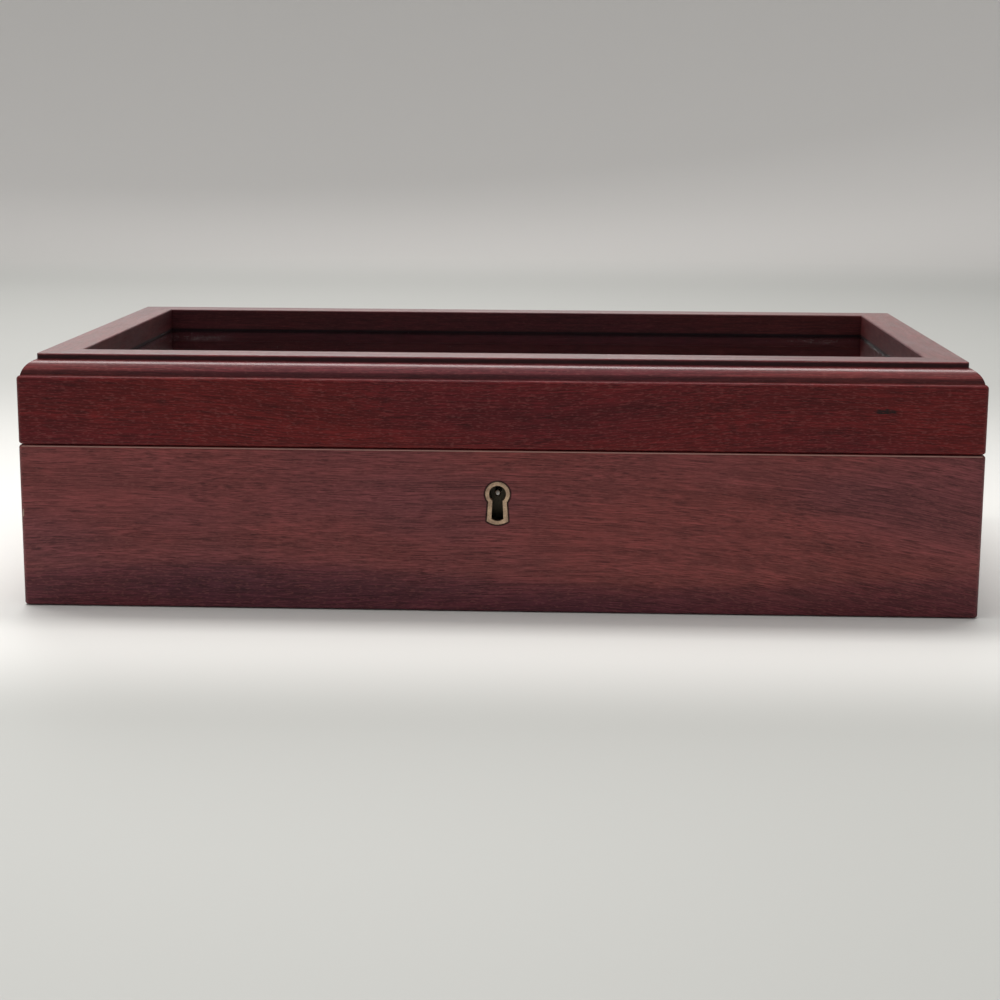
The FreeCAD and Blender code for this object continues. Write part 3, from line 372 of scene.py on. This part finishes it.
def raised(tree, height, strength, distance):
    return put(tree, "Bump", {"Height": height, "Strength": strength, "Distance": distance}).outputs["Normal"]


front_face = -102.5


def wooden(
    name, turned=False, offset=(0, 0, 0), marks=None, mark_colour=(0.02, 0.008, 0.008, 1), gathered=None, gloss=0.26,
    polish=0.0, edge_level=None, relief=0.00009, **grain,
):
    """Lacquered mahogany. marks places one patch of wear. A mask function, when given, darkens the colour: dirt round
    the keyhole ring, painted shade in the frame's recesses. Above a given level, on the front edge, a painted
    highlight makes the colour paler. polish is the weight of a second, glossier coat."""

    def changing(tree):
        wood = placed_group(tree, mahogany, {"Vector": in_millimetres(tree, turned, offset), **grain})
        colour, roughness = wood["Color"], wood["Roughness"]
        coat_weight = polish
        if gathered:
            dark = gathered(tree)
            # Where the mask is high the colour is painted dark: dirt round the keyhole ring, painted shade in the
            # frame's recesses.
            colour = mix_colours(tree, dark, colour, (0.010, 0.003, 0.005, 1))
            roughness = maths(tree, "MULTIPLY_ADD", dark, 0.4, roughness)
            coat_weight = maths(tree, "MULTIPLY", soft_step(tree, dark, 0.3, 0.05), polish)
        # Painted highlight: the front edge just below the top is painted paler, the light caught by its eased edge.
        if edge_level:
            parts = put(tree, "SeparateXYZ", {"Vector": in_millimetres(tree)}).outputs
            near_top = soft_step(tree, parts["Z"], edge_level - 0.2, edge_level + 0.1, 0.0, 0.95)
            near_front = soft_step(tree, parts["Y"], front_face + 0.6, front_face + 0.2)
            wear_and_highlight = maths(tree, "MULTIPLY", near_top, near_front)
            colour = mix_colours(tree, wear_and_highlight, colour, (0.60, 0.37, 0.31, 1))
        if marks:
            mask = placed_group(tree, worn_marks, {"Vector": in_millimetres(tree), **marks})["Mask"]
            colour = mix_colours(tree, mask, colour, mark_colour)
        normal = raised(tree, wood["Height"], 0.5, relief)
        return {"Base Color": colour, "Roughness": roughness, "Coat Weight": coat_weight, "Normal": normal}

    return finish(name, {"IOR": 1.5, "Specular IOR Level": gloss, "Coat Roughness": 0.17, "Coat IOR": 1.5}, changing)


def cover(node, material):
    """Gives a CAD node its material."""
    data = nodes[node].data
    data.materials.clear()
    data.materials.append(material)


key_level = 44.75
head_radius = 4.75
foot_half_width, foot_spread = 3.42, 0.076
foot_end_centre, foot_end_radius = -4.7, 7.0


def past_the_ring(tree):
    """How far a point of the front lies outside the keyhole ring's outline, in millimetres: the nearer of its
    round head and its foot, which has straight spreading sides and a bowed end."""
    parts = put(tree, "SeparateXYZ", {"Vector": in_millimetres(tree)}).outputs
    across = maths(tree, "ABSOLUTE", parts["X"])
    level = maths(tree, "SUBTRACT", parts["Z"], key_level)

    def round_part(centre, radius):
        place = put(tree, "CombineXYZ", {"X": across, "Y": maths(tree, "SUBTRACT", level, centre)}).outputs["Vector"]
        length = put(tree, "VectorMath", {0: place}, operation="LENGTH").outputs["Value"]
        return maths(tree, "SUBTRACT", length, radius)

    sides = maths(tree, "SUBTRACT", across, maths(tree, "MULTIPLY_ADD", level, -foot_spread, foot_half_width))
    bowed_end = round_part(foot_end_centre, foot_end_radius)
    foot = maths(tree, "MAXIMUM", sides, maths(tree, "MAXIMUM", level, bowed_end))
    return maths(tree, "MINIMUM", round_part(0.0, head_radius), foot)


def polish_round_ring(tree):
    """A dark line of old polish in the wood, close round the keyhole ring."""
    return soft_step(tree, past_the_ring(tree), 0.65, 0.15, 0.0, 0.8)


# The front board's top front edge carries a painted highlight, a paler colour just below the rim.
base_front_grain = {
    "gathered": polish_round_ring, "edge_level": 60.55,
    "Wander": 5.5, "Bend": 0.00058, "Bend From": 5.0,
    "Dark Below": 13.0, "Dark Wave": 3.6, "Dark Crest": -95.0,
}
base_chip = {"Centre": (-177.5, -101.5, 35.5), "Reach": (2.2, 3.0, 3.4), "Fleck": (0.9, 0.9, 1.3), "Amount": 0.45}
cover(
    "base_front_board",
    wooden("mahogany_base_front", marks=base_chip, mark_colour=(0.36, 0.24, 0.19, 1), **base_front_grain),
)
side_colour = {"Cool": (0.128, 0.030, 0.035, 1), "Warm": (0.175, 0.034, 0.030, 1)}
other_base_boards = (
    ("right", True, (900, 0, 0), {"Dark Below": 11.0, "Dark Wave": 2.0}),
    ("back", False, (1700, 60, 0), {"Dark Below": 12.0, "Dark Wave": 3.0}),
    ("left", True, (2600, 0, 0), {"Dark Below": 12.0, "Dark Wave": 2.5}),
)
for side, turned, offset, foot in other_base_boards:
    cover(f"base_{side}_board", wooden(f"mahogany_base_{side}", turned, offset, **foot, **side_colour))
cover("base_bottom_panel", wooden("mahogany_bottom_panel", False, (3300, 200, 90), Wander=14.0))

# Base felt: a sheet of dark green baize glued under the bottom panel. It fills the recess between the boards
# and stands a little proud of them, so the box rests on it. The floor felt inside is made by the same function.


def felt_surface(half_width, half_depth, low, high, edge, seed):
    """The upper and the lower face of a felt sheet, as points on a grid over its plan. Across the last edge
    metres the thickness goes to nothing along a quarter circle, and the faces rise and fall by a sum of a few
    long waves, less at the edge."""
    rim = edge * np.array([0.0, 0.04, 0.14, 0.3, 0.52, 0.78, 1.0])
    spacing = 0.0017
    wave_height, most_swell, under_gap = 0.00001, 0.00006, 0.00002

    def stations(half):
        inside = np.linspace(-half + 2.5 * edge, half - 2.5 * edge, max(8, int(half / spacing)))
        return np.concatenate([-half + rim, inside, (half - rim)[::-1]])

    across, along = stations(half_width), stations(half_depth)
    x, y = np.meshgrid(across, along)
    inset_x = np.clip((half_width - np.abs(x)) / edge, 0, 1)
    inset_y = np.clip((half_depth - np.abs(y)) / edge, 0, 1)
    full = np.sqrt(1 - (1 - inset_x) ** 2) * np.sqrt(1 - (1 - inset_y) ** 2)
    waves = np.random.default_rng(seed)
    swell = np.zeros_like(x)
    for _ in range(9):
        angle, length, shift = waves.uniform(0, math.pi), waves.uniform(0.018, 0.09), waves.uniform(0, 2 * math.pi)
        swell += np.sin((x * math.cos(angle) + y * math.sin(angle)) * 2 * math.pi / length + shift)
    swell *= wave_height
    middle, half = (low + high) / 2, (high - low) / 2
    top = middle + full * (half - most_swell + np.clip(swell, -most_swell, most_swell))
    bottom = middle - full * (half - under_gap)
    return np.stack([x, y, top], -1), np.stack([x, y, bottom], -1)[:, ::-1]


def felt_sheet(name, half_width, half_depth, low, high, seed, material):
    """Joins the two faces of a felt sheet along their rim."""
    upper, lower = felt_surface(half_width, half_depth, low, high, min(0.0007, (high - low) * 0.6), seed)
    work = bmesh.new()
    for face_points in (upper, lower):
        face = grid_mesh(name + "_face", face_points)
        work.from_mesh(face)
        bpy.data.meshes.remove(face)
    bmesh.ops.remove_doubles(work, verts=work.verts, dist=0.000001)
    bmesh.ops.recalc_face_normals(work, faces=work.faces)
    mesh = bpy.data.meshes.new(name)
    work.to_mesh(mesh)
    work.free()
    mesh.shade_smooth()
    return show(name, mesh, material)


def make_nap():
    """Short matted fibres: two crossed noises of fine hairs over soft patches, in millimetres. Color goes from
    Deep to Pale, Height is the fibres' own, and a larger Hair makes them finer."""
    group, given, leave = shader_group(
        "cloth_nap",
        [
            ("Vector", "Vector", (0, 0, 0)),
            ("Deep", "Color", (0, 0, 0, 1)),
            ("Pale", "Color", (1, 1, 1, 1)),
            ("Hair", "Float", 1.0),
        ],
        [("Color", "Color"), ("Roughness", "Float"), ("Height", "Float")],
    )
    fine = scaled_vector(group, given["Vector"], given["Hair"])
    turned = put(group, "VectorRotate", {"Vector": fine, "Axis": (0.2, 0.3, 1.0), "Angle": 1.1}).outputs["Vector"]
    leaning = put(group, "VectorRotate", {"Vector": fine, "Axis": (1.0, 0.2, 0.1), "Angle": 0.8}).outputs["Vector"]
    hairs = noise(group, turned, 0.9, 0.16, 2.0, 0.6)
    crossed = noise(group, leaning, 0.16, 0.8, 2.0, 0.6)
    patches = noise(group, given["Vector"], 14, 9, 2.0, 0.5)
    tufts = maths(group, "MULTIPLY_ADD", hairs, 0.5, maths(group, "MULTIPLY", crossed, 0.5))
    share = maths(group, "MULTIPLY_ADD", patches, 0.5, maths(group, "MULTIPLY", tufts, 0.9))
    colour = mix_colours(group, soft_step(group, share, 0.5, 0.9), given["Deep"], given["Pale"])
    group.links.new(colour, leave.inputs["Color"])
    group.links.new(soft_step(group, patches, 0.3, 0.7, 0.88, 0.98), leave.inputs["Roughness"])
    group.links.new(tufts, leave.inputs["Height"])
    return group


cloth_nap = make_nap()


def cloth(name, deep, pale, sheen, hair=1.0):
    def changing(tree):
        place = in_millimetres(tree)
        nap = placed_group(tree, cloth_nap, {"Vector": place, "Deep": deep, "Pale": pale, "Hair": hair})
        return {
            "Base Color": nap["Color"],
            "Roughness": nap["Roughness"],
            "Normal": raised(tree, nap["Height"], 0.7, 0.00025),
        }

    constant = {"Specular IOR Level": 0.2, "Sheen Weight": 0.35, "Sheen Roughness": 0.5, "Sheen Tint": sheen}
    return finish(name, constant, changing)


green_baize = cloth("green_baize", (0.012, 0.030, 0.020, 1), (0.034, 0.070, 0.046, 1), (0.35, 0.5, 0.4, 1))
low_corner, high_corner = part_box("base_felt")
base_baize = felt_sheet(
    "base_baize", high_corner[0], high_corner[1], low_corner[2], high_corner[2], 11, green_baize
)
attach(base_baize, "base")
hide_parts("base_felt")

# Keyhole ring: a small brass casting let in flush with the front board, dulled to brown-gold by age, with
# darker dirt in its edges.


def make_aged_brass():
    """Brass with a thin brown tarnish in soft patches and fine dark pits, in millimetres. Tarnish is how much
    of it there is, and Brush how deep the fine lines along X are."""
    group, given, leave = shader_group(
        "aged_brass",
        [("Vector", "Vector", (0, 0, 0)), ("Tarnish", "Float", 0.5), ("Brush", "Float", 0.0)],
        [("Color", "Color"), ("Roughness", "Float"), ("Height", "Float")],
    )
    cloud = noise(group, given["Vector"], 3.2, 2.6, 3.0, 0.6)
    speck = noise(group, given["Vector"], 0.45, 0.4, 2.0, 0.6)
    lines = noise(group, given["Vector"], 9.0, 0.12, 2.0, 0.6)
    dirt = maths(group, "MULTIPLY_ADD", speck, 0.45, maths(group, "MULTIPLY", cloud, 0.75))
    dirt = maths(group, "ADD", dirt, maths(group, "MULTIPLY_ADD", given["Tarnish"], 0.4, -0.2))
    share = soft_step(group, dirt, 0.42, 0.82)
    metal = mix_colours(group, share, (0.68, 0.49, 0.33, 1), (0.42, 0.29, 0.21, 1))
    pits = soft_step(group, speck, 0.40, 0.30)
    metal = mix_colours(group, maths(group, "MULTIPLY", pits, 0.5), metal, (0.07, 0.045, 0.03, 1))
    relief = maths(group, "MULTIPLY_ADD", lines, given["Brush"], maths(group, "MULTIPLY", speck, 0.5))
    group.links.new(metal, leave.inputs["Color"])
    group.links.new(maths(group, "MULTIPLY_ADD", share, 0.28, 0.30), leave.inputs["Roughness"])
    group.links.new(relief, leave.inputs["Height"])
    return group


aged_brass = make_aged_brass()


def brass(name, tarnish, brush):
    def changing(tree):
        metal = placed_group(tree, aged_brass, {"Vector": in_millimetres(tree), "Tarnish": tarnish, "Brush": brush})
        return {
            "Base Color": metal["Color"],
            "Roughness": metal["Roughness"],
            "Normal": raised(tree, metal["Height"], 0.5, 0.00004),
        }

    return finish(name, {"Metallic": 1.0}, changing)


def ring_finish(tree):
    """Aged brass, darker towards the ring's outline."""
    metal = placed_group(tree, aged_brass, {"Vector": in_millimetres(tree), "Tarnish": 0.6, "Brush": 0.0})
    edge = soft_step(tree, past_the_ring(tree), -0.35, 0.0, 0.0, 0.8)
    return {
        "Base Color": mix_colours(tree, edge, metal["Color"], (0.10, 0.065, 0.045, 1)),
        "Roughness": metal["Roughness"],
        "Normal": raised(tree, metal["Height"], 0.6, 0.00008),
    }


cover("keyhole_ring", finish("ring_brass", {"Metallic": 1.0}, ring_finish))

# Lock: a box lock let into the inside of the front board. Its plate is brass, bright on the flange that shows
# in the rim, and inside painted dark as the deep shade seen through the keyhole. The drill pin, the studs and the
# spring are steel, dark with old oil.

rim_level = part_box("base_front_board")[1][2] * 1000
plate_back = -90.75


def brass_with_painted_shade(name):
    """Brass plate whose inside, below the flange, is painted dark as shade, the deep shade seen through the keyhole.
    """

    def changing(tree):
        place = in_millimetres(tree)
        metal = placed_group(tree, aged_brass, {"Vector": place, "Tarnish": 0.4, "Brush": 0.6})
        parts = put(tree, "SeparateXYZ", {"Vector": place}).outputs
        flange = soft_step(tree, parts["Z"], rim_level - 2.3, rim_level - 1.9)
        inner_face = soft_step(tree, parts["Y"], plate_back, plate_back + 0.2)
        bright = maths(tree, "MAXIMUM", flange, inner_face)
        # Painted shade: away from the flange and the inner face the plate takes this dark colour.
        colour = mix_colours(tree, bright, (0.070, 0.060, 0.045, 1), metal["Color"])
        roughness = put(tree, "Mix", {"Factor": bright, "A": 0.4, "B": metal["Roughness"]}, data_type="FLOAT")
        return {
            "Base Color": colour,
            "Roughness": roughness.outputs["Result"],
            "Normal": raised(tree, metal["Height"], 0.5, 0.00004),
        }

    return finish(name, {"Metallic": 1.0}, changing)


def make_oiled_steel():
    """Steel with fine drawing lines along X and brown stains of old oil, in millimetres."""
    group, given, leave = shader_group(
        "oiled_steel",
        [("Vector", "Vector", (0, 0, 0)), ("Stain", "Float", 0.5)],
        [("Color", "Color"), ("Roughness", "Float"), ("Height", "Float")],
    )
    lines = noise(group, given["Vector"], 6.0, 0.09, 2.0, 0.6)
    cloud = noise(group, given["Vector"], 2.4, 1.8, 3.0, 0.6)
    stained = soft_step(group, maths(group, "MULTIPLY_ADD", given["Stain"], 0.4, cloud), 0.45, 0.9)
    metal = mix_colours(group, stained, (0.46, 0.46, 0.45, 1), (0.16, 0.125, 0.095, 1))
    group.links.new(metal, leave.inputs["Color"])
    group.links.new(maths(group, "MULTIPLY_ADD", stained, 0.25, 0.24), leave.inputs["Roughness"])
    group.links.new(lines, leave.inputs["Height"])
    return group


oiled_steel = make_oiled_steel()


def steel(name, stain):
    def changing(tree):
        metal = placed_group(tree, oiled_steel, {"Vector": in_millimetres(tree), "Stain": stain})
        return {
            "Base Color": metal["Color"],
            "Roughness": metal["Roughness"],
            "Normal": raised(tree, metal["Height"], 0.4, 0.00003),
        }

    return finish(name, {"Metallic": 1.0}, changing)


lock_brass = brass_with_painted_shade("lock_brass")
cover("lock_plate", lock_brass)
cover("lock_cap", lock_brass)
cover("lock_bolt", brass("bolt_brass", 0.5, 0.7))
cover("lock_drill_pin", steel("pin_steel", 0.2))
cover("lock_studs", steel("stud_steel", 0.5))
cover("lock_spring", steel("spring_steel", 0.3))
screw_brass = brass("screw_brass", 0.3, 0.8)
cover("lock_rim_screws", screw_brass)
cover("lock_plate_screws", screw_brass)

# Floor felt and lining boards: a loose sheet of wine-coloured flocked felt on the bottom panel, and four thin
# boards covered with the same cloth, which stand on the panel against the walls and carry the tray.

wine_flock = cloth("wine_flock", (0.020, 0.0055, 0.0080, 1), (0.062, 0.019, 0.025, 1), (0.55, 0.3, 0.33, 1), 1.6)
low_corner, high_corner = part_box("floor_felt")
floor_cloth = felt_sheet(
    "floor_cloth", high_corner[0], high_corner[1], low_corner[2], high_corner[2], 23, wine_flock
)
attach(floor_cloth, "base")
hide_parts("floor_felt")
for side in ("front", "right", "back", "left"):
    cover(f"lining_{side}_board", wine_flock)

# Hinges: two stop hinges of cast brass. Their leaves are let into the back rims of the base and the lid and held
# by countersunk brass screws, and they turn on steel pins.

hinge_brass = brass("hinge_brass", 0.35, 0.5)
pin_steel = steel("hinge_pin_steel", 0.2)
for side in ("left", "right"):
    cover(f"hinge_{side}_base_leaf", hinge_brass)
    cover(f"hinge_{side}_lid_leaf", hinge_brass)
    cover(f"hinge_{side}_pin", pin_steel)
cover("hinge_base_screws", screw_brass)
cover("hinge_lid_screws", screw_brass)

# Lid: four more mahogany boards, mitred, deeper red than the base. The front one has a small old scuff near
# its right end.

scuff = {"Centre": (140.5, -102.5, 76.9), "Reach": (8.5, 2.0, 1.9), "Fleck": (2.6, 0.5, 0.45), "Amount": 0.42}
lid_colour = {"gloss": 0.2, "Cool": (0.097, 0.0085, 0.0125, 1), "Warm": (0.134, 0.0105, 0.0100, 1)}
cover("lid_front_board", wooden("mahogany_lid_front", False, (4100, 0, 140), marks=scuff, Wander=8.0, **lid_colour))
for side, turned, shift in (("right", True, 5000), ("back", False, 5900), ("left", True, 6800)):
    cover(f"lid_{side}_board", wooden(f"mahogany_lid_{side}", turned, (shift, 0, 140), **lid_colour))

# Top frame: four mitred mouldings round the window, each with its grain along its length: a narrow ledge, an
# ovolo, a square step and a broad flat. The finish is rubbed through in one place on the front step's edge. Their
# colour has painted shade in the recesses of the moulding and on the walls round the window, darkest at the glass.

window_half_width, window_half_depth = 157.3, 81.8
step_foot, ovolo_foot = 93.2, 88.0


def painted_recess_shade(tree):
    """Painted shade: dark where the flat's step meets the ovolo, where the ovolo meets the ledge, on the walls round
    the window and most of all where these meet the glass, the places that get less light."""
    parts = put(tree, "SeparateXYZ", {"Vector": in_millimetres(tree)}).outputs
    past_end = maths(tree, "SUBTRACT", maths(tree, "ABSOLUTE", parts["X"]), window_half_width)
    past_side = maths(tree, "SUBTRACT", maths(tree, "ABSOLUTE", parts["Y"]), window_half_depth)
    outward = maths(tree, "MAXIMUM", past_end, past_side)

    def near(level, reach, share):
        away = maths(tree, "ABSOLUTE", maths(tree, "SUBTRACT", parts["Z"], level))
        return soft_step(tree, away, reach, reach * 0.4, 0.0, share)

    outside = soft_step(tree, outward, 6.0, 9.0)
    # Painted shade in the two recesses of the moulding, and on the walls round the window, darkest at the glass.
    gathered = maths(tree, "MAXIMUM", near(step_foot, 1.1, 0.85), near(ovolo_foot, 1.3, 0.6))
    corners = maths(tree, "MULTIPLY", outside, gathered)
    wall = soft_step(tree, outward, 0.9, 0.3, 0.0, 0.58)
    wall = maths(tree, "MULTIPLY", wall, soft_step(tree, parts["Z"], 86.6, 85.4, 1.0, 1.8))
    return maths(tree, "MAXIMUM", corners, wall)


# The frame's colour carries painted shade in its recesses and at the glass, from the mask function below.
frame_colour = {
    "gathered": painted_recess_shade,
    "gloss": 0.28, "polish": 0.6, "relief": 0.00005, "Matt": 0.33, "Open Pores": 0.4, "Wander": 6.0,
    "Cool": (0.122, 0.017, 0.024, 1), "Warm": (0.170, 0.022, 0.020, 1),
}
wear_and_highlight = {"Centre": (-118, -94.9, 94.4), "Reach": (17, 1.5, 1.6), "Fleck": (3.5, 0.5, 0.5), "Amount": 0.52}
rubbed_wear = {"marks": wear_and_highlight, "mark_colour": (0.05, 0.035, 0.03, 1)}
cover("top_frame_front", wooden("mahogany_frame_front", False, (7700, 0, 300), **rubbed_wear, **frame_colour))
for side, turned, shift in (("right", True, 8600), ("back", False, 9500), ("left", True, 10400)):
    cover(f"top_frame_{side}", wooden(f"mahogany_frame_{side}", turned, (shift, 0, 300), **frame_colour))

# Window: one pane of clear glass that lies on four mahogany beads glued round the inside of the lid. Fine
# dust lies on it, thickest in the far corners and along the right-hand side.


def make_dust():
    """Specks of dust on a level pane, in millimetres: the peaks of a fine noise, more of them where a slow noise
    is high and near the two heaps."""
    group, given, leave = shader_group(
        "dust",
        [("Vector", "Vector", (0, 0, 0)), ("First Heap", "Vector", (0, 0, 0)), ("Second Heap", "Vector", (0, 0, 0))],
        [("Mask", "Float")],
    )
    amount = noise(group, given["Vector"], 30, 18, 2.0, 0.6)
    amount = soft_step(group, amount, 0.4, 0.75, -0.10, -0.03)
    heap_reach = (34, 26, 20)
    for heap in ("First Heap", "Second Heap"):
        away = put(group, "VectorMath", {0: given["Vector"], 1: given[heap]}, operation="SUBTRACT").outputs["Vector"]
        away = put(group, "VectorMath", {0: away, 1: heap_reach}, operation="DIVIDE").outputs["Vector"]
        distance = put(group, "VectorMath", {0: away}, operation="LENGTH").outputs["Value"]
        amount = maths(group, "ADD", amount, soft_step(group, distance, 1.0, 0.1, 0.0, 0.16))
    specks = noise(group, given["Vector"], 0.7, 1.5, 1.0, 0.5)
    threshold = maths(group, "SUBTRACT", 0.75, amount)
    mask = soft_step(group, maths(group, "SUBTRACT", specks, threshold), 0.0, 0.03)
    group.links.new(mask, leave.inputs["Mask"])
    return group


dust = make_dust()


def dusty_glass(tree):
    """Clear glass, dull and pale where a speck lies and in a thin film along its right-hand edge."""
    place = in_millimetres(tree)
    specks = placed_group(
        tree, dust, {"Vector": place, "First Heap": (-140, 55, 85), "Second Heap": (135, 62, 85)}
    )["Mask"]
    across = put(tree, "SeparateXYZ", {"Vector": place}).outputs["X"]
    film = soft_step(tree, across, 154.8, 157.0, 0.0, 0.32)
    mask = maths(tree, "MAXIMUM", specks, film)
    return {
        "Base Color": mix_colours(tree, mask, (0.94, 0.97, 0.955, 1), (0.8, 0.78, 0.76, 1)),
        "Roughness": soft_step(tree, mask, 0.0, 1.0, 0.0, 0.8),
    }


window_glass = finish("dusty_glass", {"IOR": 1.5, "Transmission Weight": 1.0}, dusty_glass)
glass_tree = window_glass.node_tree
shaded = put(glass_tree, "LightPath", {}).outputs["Is Shadow Ray"]
clear = put(glass_tree, "BsdfTransparent", {"Color": (0.86, 0.89, 0.88, 1)}).outputs["BSDF"]
pane = glass_tree.nodes["Principled BSDF"].outputs["BSDF"]
both = put(glass_tree, "MixShader", {"Fac": shaded, 1: pane, 2: clear}).outputs["Shader"]
glass_tree.links.new(both, glass_tree.nodes["Material Output"].inputs["Surface"])
cover("lid_glass", window_glass)
bead_colour = {"Cool": (0.130, 0.034, 0.064, 1), "Warm": (0.165, 0.036, 0.058, 1)}
for side, turned in (("front", False), ("right", True), ("back", False), ("left", True)):
    bead = wooden(f"mahogany_bead_{side}", turned, (11300, 50, 500), Wander=5.0, **bead_colour)
    cover(f"glazing_bead_{side}", bead)

# Link plate: a brass plate let into the lid's front rim over the lock and screwed there. Two staples are riveted
# to it, which drop through the slots of the lock.

link_brass = brass("link_brass", 0.35, 0.6)
cover("link_plate", link_brass)
cover("link_staples", link_brass)
cover("link_screws", screw_brass)

# Pen tray: four thin mahogany rails round a thin bottom, with finger notches in the two end rails. A grooved
# rest, covered with the wine-coloured flock, fills it.

for side, turned in (("front", False), ("right", True), ("back", False), ("left", True)):
    cover(f"tray_{side}_rail", wooden(f"mahogany_tray_{side}", turned, (12400, 30, 700), Wander=5.0))
cover("tray_bottom", wooden("mahogany_tray_bottom", False, (13300, 90, 40), Wander=10.0))
cover("pen_rest", wine_flock)
